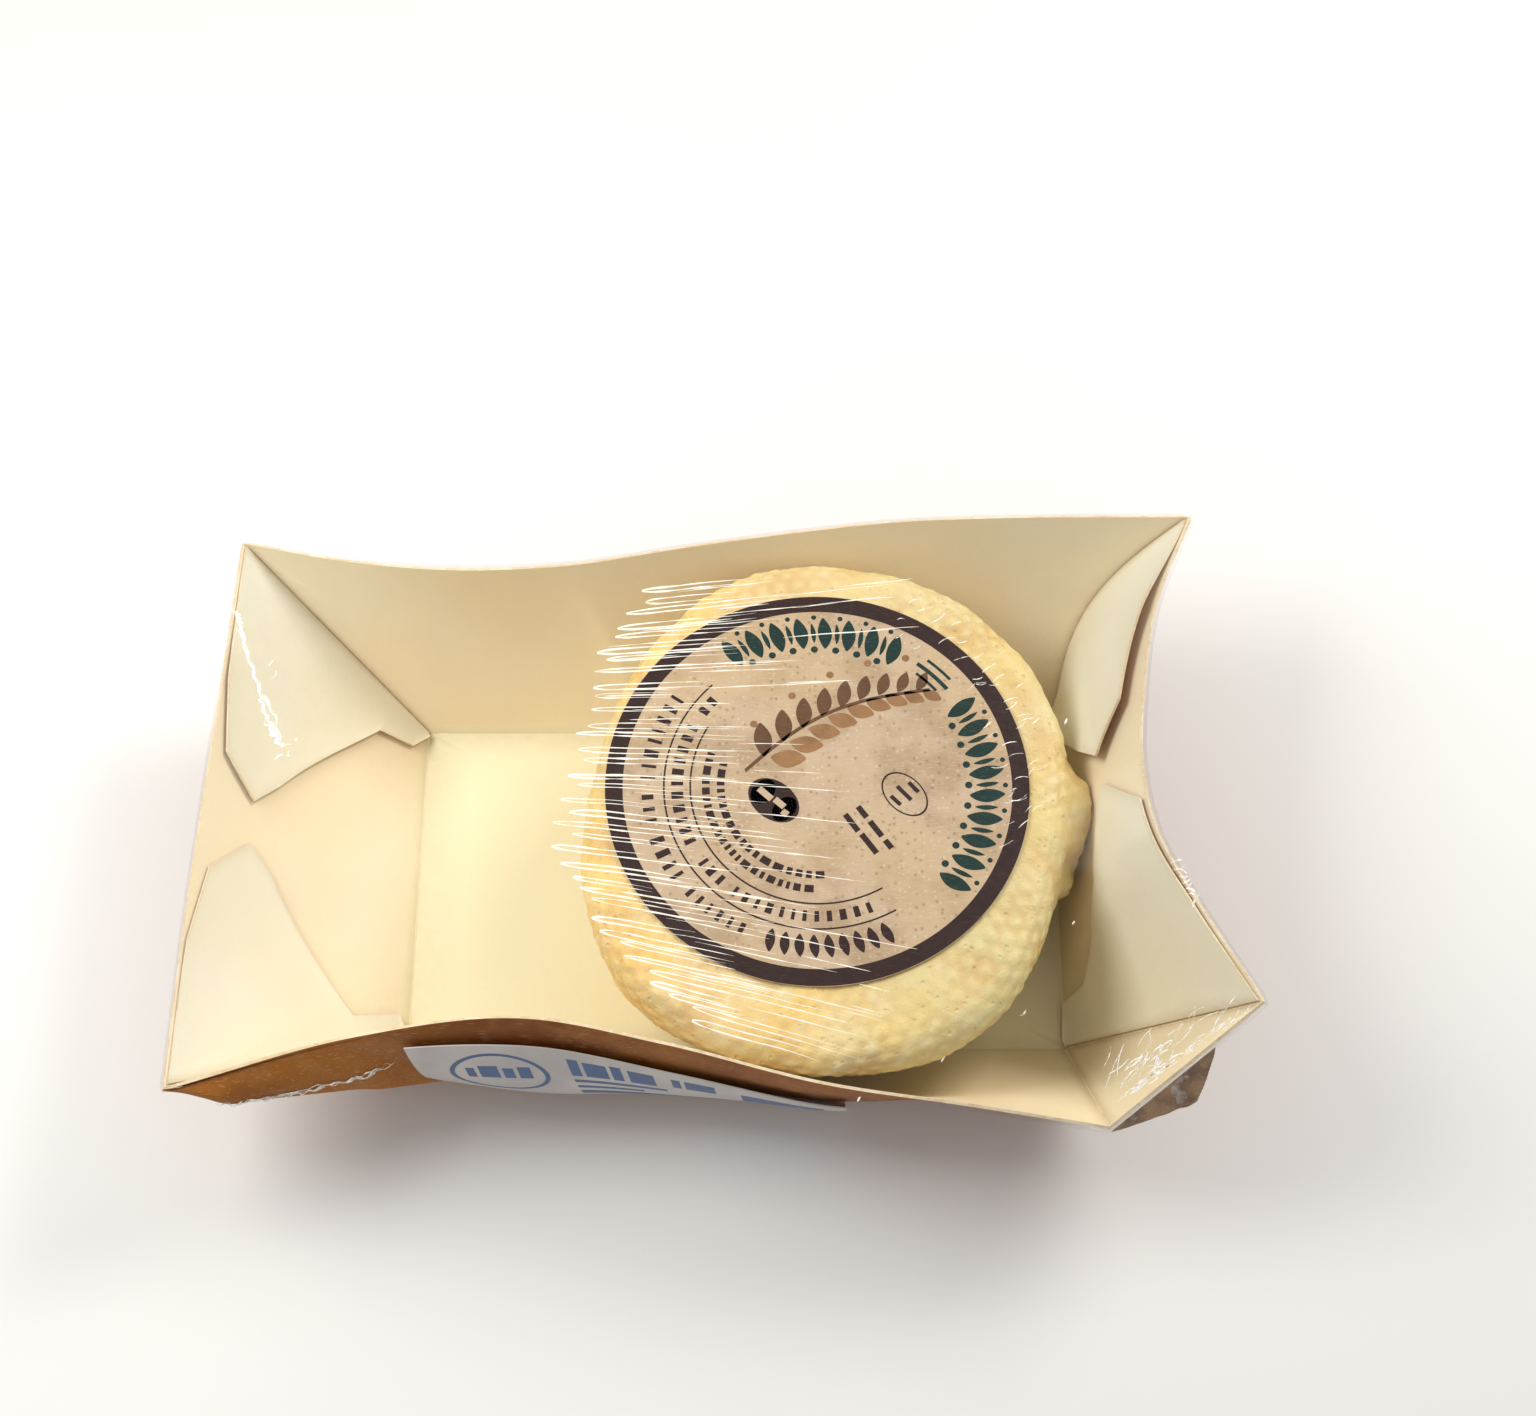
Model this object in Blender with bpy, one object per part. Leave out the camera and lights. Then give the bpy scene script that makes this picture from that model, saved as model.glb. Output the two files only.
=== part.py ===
"""Goat cheese in a folded card tray, overwrapped with clear film.

Metres, +Z up.  The origin is the centre of the tray's underside, +X runs along the tray
towards the cheese, and -Y is the side that carries the price label.

The tray is one folded card: a flat base, four leaning walls and four glued corner flaps.
Its rim is a curve through a few points, and each wall bulges as far as its panel is longer
than the straight way from base to rim.  Film and price label are the same wall surface,
pushed outwards.
"""
import math

import bmesh
import bpy
import numpy as np
from mathutils import Vector
from mathutils.geometry import delaunay_2d_cdt

MM = 0.001

# Driving dimensions, in millimetres
BASE_LENGTH = 136.0
BASE_WIDTH = 71.0
CARD = 0.6
GAP = 0.3
SKIRT_GAP = 0.8
RIM_GAP = 0.7
FILM = 0.2
LABEL_CARD = 0.3

# Height of each wall's panel, measured along the card
FRONT_PANEL = 46.4
BACK_PANEL = 46.0
END_PANEL = 54.2

# Share of a wall's length over which its bulge dies away towards the corner folds, and the least
# length that a panel has to spare for its bulge
BULGE_FADE = 0.35
LEAST_SLACK = 0.25

# The fold at the back right corner bows inwards, most of all at this power of the height
CORNER_PULL = (-7.8, 2.2, 0.0)
CORNER_SKEW = 1.15

# Corner tips of the rim, and the points that each stretch of rim passes between them
TIP_FRONT_LEFT = (-109.0, -56.0, 37.0)
CREASE_FRONT_RIGHT = (72.0, -61.5, 33.0)
TIP_FRONT_RIGHT = (100.0, -42.0, 50.0)
TIP_BACK_RIGHT = (94.0, 66.2, 44.0)
TIP_BACK_LEFT = (-104.0, 61.0, 40.0)
FRONT_RIM = [(-73.0, -45.8, 38.5), (-40.0, -42.4, 40.0), (-14.0, -47.2, 40.0), (18.0, -54.6, 38.0),
             (45.0, -58.0, 36.0)]
RIGHT_RIM = [(88.7, -22.0, 50.3), (81.6, -8.0, 52.0), (79.3, 6.7, 52.5), (80.7, 22.3, 51.5),
             (84.3, 41.6, 49.0)]
BACK_RIM = [(56.0, 66.0, 43.6), (33.0, 65.2, 43.0), (12.0, 63.0, 42.2), (-9.0, 59.8, 42.0),
            (-38.0, 55.3, 41.0), (-60.0, 54.8, 40.2), (-82.0, 56.8, 40.0)]
LEFT_RIM = [(-105.6, 31.0, 38.0), (-107.0, 8.0, 37.0), (-108.3, -19.0, 36.5)]

# Corner flap, glued inside an end wall: shares along the wall from the flap's own corner, and
# shares of the wall's height; from the rim round the free edge to the notch beside the base
FLAP_OUTLINE = [(0.012, 0.98), (0.25, 0.98), (0.39, 0.93), (0.455, 0.765), (0.41, 0.645), (0.135, 0.27),
                (0.10, 0.05), (0.012, 0.05)]
FLAP_STEP = 0.12

# Cheese: an uneven tapered drum, its centre line standing at (x, y).  Pressed against the tray's
# front, it swells towards the corners: direction and half width in degrees, height in millimetres
SWELLS = [(-136.0, 28.0, 5.6), (-52.0, 32.0, 3.4), (24.0, 30.0, 1.9), (158.0, 20.0, -2.2)]
CHEESE_CENTRE = (17.8, 5.0)
CHEESE_TOP = 40.6
CHEESE_HALF_LENGTH = 49.6
CHEESE_FRONT = 58.4
CHEESE_BACK = 56.0
TOP_ROUNDING = 7.0
BOTTOM_ROUNDING = 12.0
TAPER_FRONT = 14.5
TAPER_BACK = 24.5
TAPER_ENDS = 6.0
TAPER_POWER = 1.2

# Its surface: pebbles, slow waves (number round the side, turn for each millimetre of height,
# height) and how far all of it lies inside the outline, so that nothing stands proud
PEBBLE_HEIGHT = 0.3
PEBBLE_JITTER = 0.15
WAVES = [(3.0, 0.16, 0.5), (7.0, -0.30, 0.3)]
SURFACE_INSET = 0.8

# Soft lip squeezed out towards the front right flap: angles in radians
LIP_REACH = 5.0
LIP_HEIGHT = 30.0
LIP_ANGLE = -0.04
LIP_HALF_ANGLE = 0.11
LIP_HALF_HEIGHT = 6.0

# Round paper label on top of the cheese
LABEL_CENTRE = (16.1, 6.0)
LABEL_RADIUS = 42.5

# Height of the film over the bare cheese: the label and a gap on each side of it
FILM_CLEARANCE = LABEL_CARD + 2.0 * GAP

# Extra rings of film between cheese and rim, as shares of the way; the film leaves the cheese
# between two shares of its rounded shoulder, at the latest at this share of the way to the rim
FILM_RINGS = (0.2, 0.45, 0.72)
TOUCH_SHARES = (0.12, 0.95)
LATEST_TOUCH = 0.6

# Price label on the outside of the film: its stretch of the front wall, and at each end the
# shares of the wall's height between which it lies
PRICE_FROM_X = -64.0
PRICE_TO_X = 22.0
PRICE_BAND_LEFT = (0.34, 0.91)
PRICE_BAND_RIGHT = (0.22, 0.70)
PRICE_GAP = 0.6

# Mesh fineness; wall segment counts are even, because the film uses every second one
FRONT_SEGMENTS = 32
WEB_SEGMENTS = 4
RIGHT_SEGMENTS = 24
BACK_SEGMENTS = 32
LEFT_SEGMENTS = 16
WALL_ROWS = 8
SKIRT_FOOT = 0.04
CHEESE_COLUMNS = 96
SIDE_ROWS = 11
ROUNDING_ROWS = 4
TOUCH_STEPS = 20
LABEL_SIDES = 72
PRICE_COLUMNS = 18
PRICE_ROWS = 5

# Edges sharper than these angles, in degrees, stay crisp
CARD_CREASE = 18.0
CHEESE_CREASE = 50.0
PAPER_CREASE = 35.0
FILM_CREASE = 30.0

# Colours (linear RGB) and surface values
CARD_COLOUR = (0.90, 0.76, 0.48, 1.0)
CHEESE_COLOUR = (0.86, 0.66, 0.34, 1.0)
LABEL_COLOUR = (0.58, 0.40, 0.27, 1.0)
PRICE_COLOUR = (0.62, 0.62, 0.60, 1.0)
FILM_COLOUR = (0.95, 0.95, 0.93, 1.0)


def clear_scene():
    for obj in list(bpy.data.objects):
        bpy.data.objects.remove(obj, do_unlink=True)


def make_material(name, colour, roughness, alpha=1.0):
    material = bpy.data.materials.new(name)
    material.use_nodes = True
    shader = material.node_tree.nodes["Principled BSDF"]
    shader.inputs["Base Color"].default_value = colour
    shader.inputs["Roughness"].default_value = roughness
    shader.inputs["Metallic"].default_value = 0.0
    shader.inputs["Alpha"].default_value = alpha
    return material


def make_object(name, vertices, faces, material, sharp_angle):
    """A mesh object from points in millimetres, with coincident points merged."""
    mesh = bpy.data.meshes.new(name)
    mesh.from_pydata([tuple(float(c) * MM for c in v) for v in vertices], [], faces)
    bm = bmesh.new()
    bm.from_mesh(mesh)
    bmesh.ops.remove_doubles(bm, verts=bm.verts, dist=0.01 * MM)
    bmesh.ops.recalc_face_normals(bm, faces=bm.faces)
    bm.to_mesh(mesh)
    bm.free()
    mesh.shade_smooth()
    mesh.set_sharp_from_angle(angle=math.radians(sharp_angle))
    mesh.materials.append(material)
    obj = bpy.data.objects.new(name, mesh)
    bpy.context.scene.collection.objects.link(obj)
    return obj


def smooth_step(value):
    value = np.clip(value, 0.0, 1.0)
    return value * value * (3.0 - 2.0 * value)


def unit(vectors):
    return vectors / np.linalg.norm(vectors, axis=-1, keepdims=True)


def curve_through(points, segments):
    """Smooth curve through the points: cubic Hermite pieces, evenly spaced by chord length."""
    points = np.array(points, float)
    along = np.concatenate([[0.0], np.cumsum(np.linalg.norm(np.diff(points, axis=0), axis=1))])
    tangents = np.gradient(points, along, axis=0)
    wanted = np.linspace(0.0, along[-1], segments + 1)
    piece = np.clip(np.searchsorted(along, wanted, side="right") - 1, 0, len(points) - 2)
    span = (along[piece + 1] - along[piece])[:, None]
    t = (wanted - along[piece])[:, None] / span
    far = 3.0 * t ** 2 - 2.0 * t ** 3
    leaving = (t ** 3 - 2.0 * t ** 2 + t) * span * tangents[piece]
    arriving = (t ** 3 - t ** 2) * span * tangents[piece + 1]
    return (1.0 - far) * points[piece] + far * points[piece + 1] + leaving + arriving


class Wall:
    """One wall panel: base edge, rim curve, outward direction, panel height and bulge shape.

    A positive skew makes the bulge outward and sets how high it peaks, a negative one inward.
    """

    def __init__(self, base_from, base_to, rim, outward, panel, skew, segments, pulled_at=None):
        share = np.linspace(0.0, 1.0, segments + 1)[:, None]
        self.base = np.array(base_from) * (1.0 - share) + np.array(base_to) * share
        self.rim = curve_through(rim, segments)
        self.outward = np.array(outward)
        chord = np.hypot((self.rim - self.base) @ self.outward, self.rim[:, 2])
        slack = np.maximum(panel - chord, LEAST_SLACK)
        fade = smooth_step(np.minimum(share, 1.0 - share)[:, 0] / BULGE_FADE)
        self.bulge = np.sqrt(0.375 * chord * slack) * fade * math.copysign(1.0, skew)
        self.skew = abs(skew)
        self.pull = np.zeros((segments + 1, 3))
        if pulled_at is not None:
            self.pull = (1.0 - smooth_step(abs(share - pulled_at) / BULGE_FADE)) * np.array(CORNER_PULL)

    def at(self, height):
        """The wall's inner line at a share of its height, one point for each station."""
        bow = self.bulge[:, None] * self.outward * math.sin(math.pi * height ** self.skew)
        pull = self.pull * math.sin(math.pi * height ** CORNER_SKEW)
        return self.base * (1.0 - height) + self.rim * height + bow + pull

    def point(self, along, height):
        """A point of the faceted inner surface, by share of the length and of the height."""
        station = along * (len(self.base) - 1)
        row = height * WALL_ROWS
        i = min(int(station), len(self.base) - 2)
        k = min(int(row), WALL_ROWS - 1)
        low = self.at(k / WALL_ROWS)
        high = self.at((k + 1) / WALL_ROWS)
        low_point = low[i] + (low[i + 1] - low[i]) * (station - i)
        high_point = high[i] + (high[i + 1] - high[i]) * (station - i)
        return low_point + (high_point - low_point) * (row - k)


def make_walls():
    half_length = 0.5 * BASE_LENGTH
    half_width = 0.5 * BASE_WIDTH
    front_left = (-half_length, -half_width, CARD)
    front_right = (half_length, -half_width, CARD)
    back_right = (half_length, half_width, CARD)
    back_left = (-half_length, half_width, CARD)
    return {
        "front": Wall(front_left, front_right, [TIP_FRONT_LEFT, *FRONT_RIM, CREASE_FRONT_RIGHT],
                      (0.0, -1.0, 0.0), FRONT_PANEL, 0.75, FRONT_SEGMENTS),
        "web": Wall(front_right, front_right, [CREASE_FRONT_RIGHT, TIP_FRONT_RIGHT],
                    (0.0, -1.0, 0.0), 0.0, 1.0, WEB_SEGMENTS),
        "right": Wall(front_right, back_right, [TIP_FRONT_RIGHT, *RIGHT_RIM, TIP_BACK_RIGHT],
                      (1.0, 0.0, 0.0), END_PANEL, -1.1, RIGHT_SEGMENTS, pulled_at=1.0),
        "back": Wall(back_right, back_left, [TIP_BACK_RIGHT, *BACK_RIM, TIP_BACK_LEFT],
                     (0.0, 1.0, 0.0), BACK_PANEL, 0.85, BACK_SEGMENTS, pulled_at=0.0),
        "left": Wall(back_left, front_left, [TIP_BACK_LEFT, *LEFT_RIM, TIP_FRONT_LEFT],
                     (-1.0, 0.0, 0.0), END_PANEL, 1.0, LEFT_SEGMENTS),
    }


def wall_loop(walls, height):
    """All walls' inner lines at one height, joined into one closed ring of stations."""
    return np.concatenate([wall.at(height)[:-1] for wall in walls.values()])


def outward_normals(grid):
    """Unit normals of a (rows, stations) grid whose stations form a closed ring."""
    along = np.roll(grid, -1, axis=1) - np.roll(grid, 1, axis=1)
    upward = np.gradient(grid, axis=0)
    normals = np.cross(along, upward)
    length = np.linalg.norm(normals, axis=-1, keepdims=True)
    return normals / np.maximum(length, 1e-9)


def ring_faces(first, last, count, falling=False):
    """Triangles between neighbouring rings of count points, from ring first to ring last.

    The two skins of a thin sheet are cut along the same diagonals, so that they never cross: the
    skin whose rings are stored in the opposite order takes the falling ones.
    """
    faces = []
    for ring in range(first, last):
        for i in range(count):
            j = (i + 1) % count
            a, b = ring * count + i, ring * count + j
            c, d = b + count, a + count
            faces += [(a, b, d), (b, c, d)] if falling else [(a, b, c), (a, c, d)]
    return faces


def grid_patch(rows):
    """Vertices and triangles of an open grid, given as rows of points."""
    count = len(rows[0])
    faces = []
    for r in range(len(rows) - 1):
        for c in range(count - 1):
            a = r * count + c
            faces += [(a, a + 1, a + count + 1), (a, a + count + 1, a + count)]
    return [tuple(point) for row in rows for point in row], faces


def inside_outline(outline, along, height):
    """Whether a point lies in a closed outline: counts the edges that a ray crosses."""
    inside = False
    for (a, h), (next_a, next_h) in zip(outline, outline[1:] + outline[:1]):
        if (h > height) != (next_h > height):
            if along < a + (next_a - a) * (height - h) / (next_h - h):
                inside = not inside
    return inside


def flap_outline(mirrored):
    """The flap's outline with points added along its sides, so that they follow the wall."""
    points = []
    for start, end in zip(FLAP_OUTLINE, FLAP_OUTLINE[1:] + FLAP_OUTLINE[:1]):
        pieces = math.ceil(math.dist(start, end) / FLAP_STEP)
        for k in range(pieces):
            along, height = (a + (b - a) * k / pieces for a, b in zip(start, end))
            points.append((1.0 - along if mirrored else along, height))
    return points


def flapped_patch(wall):
    """Inner surface of an end wall, with its two flaps standing proud as raised areas."""
    outlines = [flap_outline(False), flap_outline(True)]
    stations = len(wall.base) - 1
    flat = []
    for k in range(WALL_ROWS + 1):
        flat += [Vector((i / stations, k / WALL_ROWS)) for i in range(stations + 1)]
    edges = []
    for outline in outlines:
        start = len(flat)
        flat += [Vector(point) for point in outline]
        edges += [(start + i, start + (i + 1) % len(outline)) for i in range(len(outline))]
    flat, _, triangles, *_ = delaunay_2d_cdt(flat, edges, [], 0, 1e-5)
    on_wall = []
    lifted = []
    for spot in flat:
        here = wall.point(spot.x, spot.y)
        side = wall.point(min(spot.x + 0.01, 1.0), spot.y) - wall.point(max(spot.x - 0.01, 0.0), spot.y)
        rise = wall.point(spot.x, min(spot.y + 0.01, 1.0)) - wall.point(spot.x, max(spot.y - 0.01, 0.0))
        on_wall.append(tuple(here))
        lifted.append(tuple(here - CARD * unit(np.cross(side, rise))))
    faces = []
    border = {}
    for triangle in triangles:
        middle = sum((flat[i] for i in triangle), Vector((0.0, 0.0))) / 3.0
        if any(inside_outline(outline, *middle) for outline in outlines):
            faces.append(tuple(i + len(flat) for i in triangle))
            for k in range(3):
                a, b = triangle[k], triangle[(k + 1) % 3]
                if (b, a) in border:
                    del border[(b, a)]
                else:
                    border[(a, b)] = True
        else:
            faces.append(tuple(triangle))
    faces += [(a, b, b + len(flat), a + len(flat)) for a, b in border]
    used = sorted({i for face in faces for i in face})
    place = {old: new for new, old in enumerate(used)}
    points = on_wall + lifted
    return [points[i] for i in used], [tuple(place[i] for i in face) for face in faces]


def build_tray(walls, material):
    """Inner and outer skin of every wall, joined along the rim and closed by the base."""
    heights = np.linspace(0.0, 1.0, WALL_ROWS + 1)
    inner = np.array([wall_loop(walls, h) for h in heights])
    outer = inner + CARD * outward_normals(inner)
    outer[0] = inner[0] * (1.0 + CARD / BASE_LENGTH, 1.0 + CARD / BASE_WIDTH, 0.0)
    count = inner.shape[1]
    rings = np.concatenate([inner[-1:], outer[::-1], inner[:1]])
    faces = ring_faces(0, WALL_ROWS + 1, count, falling=True)
    faces.append(tuple(range((WALL_ROWS + 1) * count, (WALL_ROWS + 2) * count)))
    faces.append(tuple(range((WALL_ROWS + 2) * count, (WALL_ROWS + 3) * count)))
    vertices = [tuple(point) for point in rings.reshape(-1, 3)]
    for name, wall in walls.items():
        if name in ("left", "right"):
            points, patch = flapped_patch(wall)
        else:
            points, patch = grid_patch([wall.at(h) for h in heights])
        faces += [tuple(i + len(vertices) for i in face) for face in patch]
        vertices += points
    return make_object("tray", vertices, faces, material, CARD_CREASE)


def cheese_reach(angle):
    """Distance from the centre line to the cheese's untapered side, by direction."""
    depth = np.where(np.sin(angle) > 0.0, CHEESE_BACK, CHEESE_FRONT)
    reach = 1.0 / np.hypot(np.cos(angle) / CHEESE_HALF_LENGTH, np.sin(angle) / depth)
    for direction, half_width, height in SWELLS:
        away = np.angle(np.exp(1j * (angle - math.radians(direction))))
        reach = reach + height * np.exp(-(away / math.radians(half_width)) ** 2)
    return reach


def cheese_taper(angle):
    """How far the side has drawn in at the foot, by direction."""
    back = np.clip(np.sin(angle), 0.0, 1.0) ** 2
    front = np.clip(-np.sin(angle), 0.0, 1.0) ** 2
    return TAPER_ENDS + (TAPER_BACK - TAPER_ENDS) * back + (TAPER_FRONT - TAPER_ENDS) * front


def cheese_outline():
    """(inset from the tapered side, height) of each ring, from the foot to the top's edge."""
    bottom = CARD + GAP
    outline = []
    for t in np.linspace(0.0, 0.5 * math.pi, ROUNDING_ROWS + 1):
        outline.append((BOTTOM_ROUNDING * (1.0 - math.sin(t)),
                        bottom + BOTTOM_ROUNDING * (1.0 - math.cos(t))))
    for z in np.linspace(bottom + BOTTOM_ROUNDING, CHEESE_TOP - TOP_ROUNDING, SIDE_ROWS + 1)[1:-1]:
        outline.append((0.0, z))
    for t in np.linspace(0.0, 0.5 * math.pi, ROUNDING_ROWS + 1):
        outline.append((TOP_ROUNDING * (1.0 - math.cos(t)),
                        CHEESE_TOP - TOP_ROUNDING * (1.0 - math.sin(t))))
    return outline


def cheese_surface(angle, z, row, rng):
    """Pebbles, waves and lip: what the side's radius gains at one height, by direction."""
    rough = smooth_step((z - CARD - GAP) / 4.0) * smooth_step((CHEESE_TOP - z) / 1.5)
    bumps = PEBBLE_HEIGHT * np.cos(math.pi * (np.arange(CHEESE_COLUMNS) + row)) - SURFACE_INSET
    bumps = bumps + rng.uniform(-PEBBLE_JITTER, PEBBLE_JITTER, CHEESE_COLUMNS)
    for number, turn, height in WAVES:
        bumps = bumps + height * np.sin(number * angle + turn * z)
    away = np.angle(np.exp(1j * (angle - LIP_ANGLE))) / LIP_HALF_ANGLE
    lip = LIP_REACH * np.exp(-away ** 2 - ((z - LIP_HEIGHT) / LIP_HALF_HEIGHT) ** 2)
    return rough * bumps + lip


def build_cheese(material):
    angle = np.linspace(0.0, 2.0 * math.pi, CHEESE_COLUMNS, endpoint=False)
    reach = cheese_reach(angle)
    taper = cheese_taper(angle)
    rng = np.random.default_rng(7)
    rings = []
    for row, (inset, z) in enumerate(cheese_outline()):
        drawn_in = taper * ((CHEESE_TOP - z) / (CHEESE_TOP - CARD - GAP)) ** TAPER_POWER
        radius = reach - drawn_in - inset + cheese_surface(angle, z, row, rng)
        x = CHEESE_CENTRE[0] + radius * np.cos(angle)
        y = CHEESE_CENTRE[1] + radius * np.sin(angle)
        rings.append(np.stack([x, y, np.full(CHEESE_COLUMNS, z)], axis=-1))
    vertices = np.concatenate(rings)
    faces = ring_faces(0, len(rings) - 1, CHEESE_COLUMNS)
    faces.append(tuple(reversed(range(CHEESE_COLUMNS))))
    faces.append(tuple(range((len(rings) - 1) * CHEESE_COLUMNS, len(rings) * CHEESE_COLUMNS)))
    return make_object("cheese", vertices, faces, material, CHEESE_CREASE)


def build_cheese_label(material):
    bottom = CHEESE_TOP + GAP
    bpy.ops.mesh.primitive_cylinder_add(
        vertices=LABEL_SIDES, radius=LABEL_RADIUS * MM, depth=LABEL_CARD * MM,
        location=(LABEL_CENTRE[0] * MM, LABEL_CENTRE[1] * MM, (bottom + 0.5 * LABEL_CARD) * MM))
    label = bpy.context.object
    label.name = "cheese_label"
    label.data.name = "cheese_label"
    label.data.shade_smooth()
    label.data.set_sharp_from_angle(angle=math.radians(PAPER_CREASE))
    label.data.materials.append(material)
    return label


def film_touch(rim_distance, rim_height, reach):
    """Where film pulled straight from the rim first touches the cheese's padded shoulder."""
    edge = reach - TOP_ROUNDING
    furthest = min(TOP_ROUNDING, LATEST_TOUCH * (rim_distance - edge))
    over = np.linspace(*TOUCH_SHARES, TOUCH_STEPS) * furthest
    heights = CHEESE_TOP - TOP_ROUNDING + np.sqrt((TOP_ROUNDING + FILM_CLEARANCE) ** 2 - over ** 2)
    slopes = (heights - rim_height) / (rim_distance - edge - over)
    steepest = int(np.argmax(slopes))
    return edge + over[steepest], heights[steepest]


def film_top(over_rim):
    """Rings of the film's underside from the middle of the cheese out to the rim."""
    centre = np.array(CHEESE_CENTRE)
    ray = over_rim[:, :2] - centre
    rim_distance = np.linalg.norm(ray, axis=1)
    direction = ray / rim_distance[:, None]
    reach = cheese_reach(np.arctan2(ray[:, 1], ray[:, 0]))
    touch = np.array([film_touch(*values) for values in zip(rim_distance, over_rim[:, 2], reach)])
    edge = reach - TOP_ROUNDING
    crown = np.full(len(edge), CHEESE_TOP + FILM_CLEARANCE)
    distances = [0.5 * edge, edge, touch[:, 0]]
    heights = [crown, crown, touch[:, 1]]
    for share in FILM_RINGS:
        distances.append(touch[:, 0] + share * (rim_distance - touch[:, 0]))
        heights.append(touch[:, 1] + share * (over_rim[:, 2] - touch[:, 1]))
    rings = [np.column_stack([centre + d[:, None] * direction, h]) for d, h in zip(distances, heights)]
    return np.array([*rings, over_rim])


def build_film(walls, material):
    """Taut film over rim and cheese, carried down the outside of the walls as a skirt."""
    heights = np.linspace(0.0, 1.0, WALL_ROWS + 1)
    heights[0] = SKIRT_FOOT
    wall_grid = np.array([wall_loop(walls, h) for h in heights])
    wall_out = outward_normals(wall_grid)
    rise = unit(wall_grid[-1] - wall_grid[-2])[::2]
    skirt = (wall_grid + (CARD + SKIRT_GAP) * wall_out)[::-1, ::2]
    skirt[0] += 0.5 * RIM_GAP * rise
    inner = np.concatenate([film_top(wall_grid[-1, ::2] + RIM_GAP * rise), skirt])
    across = np.roll(inner, -1, axis=1) - np.roll(inner, 1, axis=1)
    outer = inner + FILM * unit(np.cross(np.gradient(inner, axis=0), across))
    loops = np.concatenate([inner, outer[::-1]])
    count = inner.shape[1]
    crown = CHEESE_TOP + FILM_CLEARANCE
    vertices = [tuple(point) for point in loops.reshape(-1, 3)]
    vertices += [(*CHEESE_CENTRE, crown), (*CHEESE_CENTRE, crown + FILM)]
    hem = len(inner) - 1
    faces = ring_faces(0, hem, count) + ring_faces(hem, len(loops) - 1, count, falling=True)
    under, over = len(vertices) - 2, len(vertices) - 1
    last_ring = (len(loops) - 1) * count
    for i in range(count):
        j = (i + 1) % count
        faces.append((under, j, i))
        faces.append((over, last_ring + i, last_ring + j))
    return make_object("film", vertices, faces, material, FILM_CREASE)


def price_label_grid(front):
    """Points of the front wall under the price label, from its lower to its upper edge."""
    stations = np.linspace(0.0, 1.0, len(front.base))
    grid = np.zeros((PRICE_ROWS + 1, PRICE_COLUMNS + 1, 3))
    for r in range(PRICE_ROWS + 1):
        left = PRICE_BAND_LEFT[0] + (PRICE_BAND_LEFT[1] - PRICE_BAND_LEFT[0]) * r / PRICE_ROWS
        right = PRICE_BAND_RIGHT[0] + (PRICE_BAND_RIGHT[1] - PRICE_BAND_RIGHT[0]) * r / PRICE_ROWS
        for c in range(PRICE_COLUMNS + 1):
            x = PRICE_FROM_X + (PRICE_TO_X - PRICE_FROM_X) * c / PRICE_COLUMNS
            height = left + (right - left) * c / PRICE_COLUMNS
            share = float(np.interp(x, front.at(height)[:, 0], stations))
            grid[r, c] = front.point(share, height)
    return grid


def build_price_label(walls, material):
    """A thin strip that follows the front wall, on the outside of the film."""
    grid = price_label_grid(walls["front"])
    outward = unit(np.cross(np.gradient(grid, axis=1), np.gradient(grid, axis=0)))
    near = grid + (CARD + SKIRT_GAP + FILM + PRICE_GAP) * outward
    far = near + LABEL_CARD * outward
    far_vertices, far_faces = grid_patch(far)
    near_vertices, near_faces = grid_patch(near)
    half = len(far_vertices)
    faces = far_faces + [tuple(half + i for i in reversed(face)) for face in near_faces]
    across = PRICE_COLUMNS + 1
    edge = list(range(PRICE_COLUMNS))
    edge += [r * across + PRICE_COLUMNS for r in range(PRICE_ROWS)]
    edge += [PRICE_ROWS * across + PRICE_COLUMNS - c for c in range(PRICE_COLUMNS)]
    edge += [(PRICE_ROWS - r) * across for r in range(PRICE_ROWS)]
    for a, b in zip(edge, edge[1:] + edge[:1]):
        faces.append((b, a, half + a, half + b))
    return make_object("price_label", far_vertices + near_vertices, faces, material, PAPER_CREASE)


def main():
    clear_scene()
    walls = make_walls()
    build_tray(walls, make_material("card", CARD_COLOUR, 0.75))
    build_cheese(make_material("cheese", CHEESE_COLOUR, 0.6))
    build_cheese_label(make_material("label_paper", LABEL_COLOUR, 0.8))
    build_film(walls, make_material("clear_film", FILM_COLOUR, 0.08, 0.25))
    build_price_label(walls, make_material("price_paper", PRICE_COLOUR, 0.7))


main()
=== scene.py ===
import math

import bpy
import numpy as np
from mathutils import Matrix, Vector


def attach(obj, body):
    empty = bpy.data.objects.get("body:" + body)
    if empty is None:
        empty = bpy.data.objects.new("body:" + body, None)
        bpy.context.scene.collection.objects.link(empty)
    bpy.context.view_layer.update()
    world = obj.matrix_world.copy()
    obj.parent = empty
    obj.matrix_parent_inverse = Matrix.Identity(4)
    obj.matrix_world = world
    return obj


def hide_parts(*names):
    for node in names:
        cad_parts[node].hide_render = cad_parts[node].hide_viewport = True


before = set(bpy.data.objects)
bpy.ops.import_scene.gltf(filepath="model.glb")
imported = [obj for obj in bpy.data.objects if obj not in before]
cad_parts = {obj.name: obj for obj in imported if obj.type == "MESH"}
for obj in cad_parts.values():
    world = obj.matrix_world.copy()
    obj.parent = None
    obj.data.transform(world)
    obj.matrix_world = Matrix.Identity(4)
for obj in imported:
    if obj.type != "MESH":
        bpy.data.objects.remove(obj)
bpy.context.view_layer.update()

mm = 0.001
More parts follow.
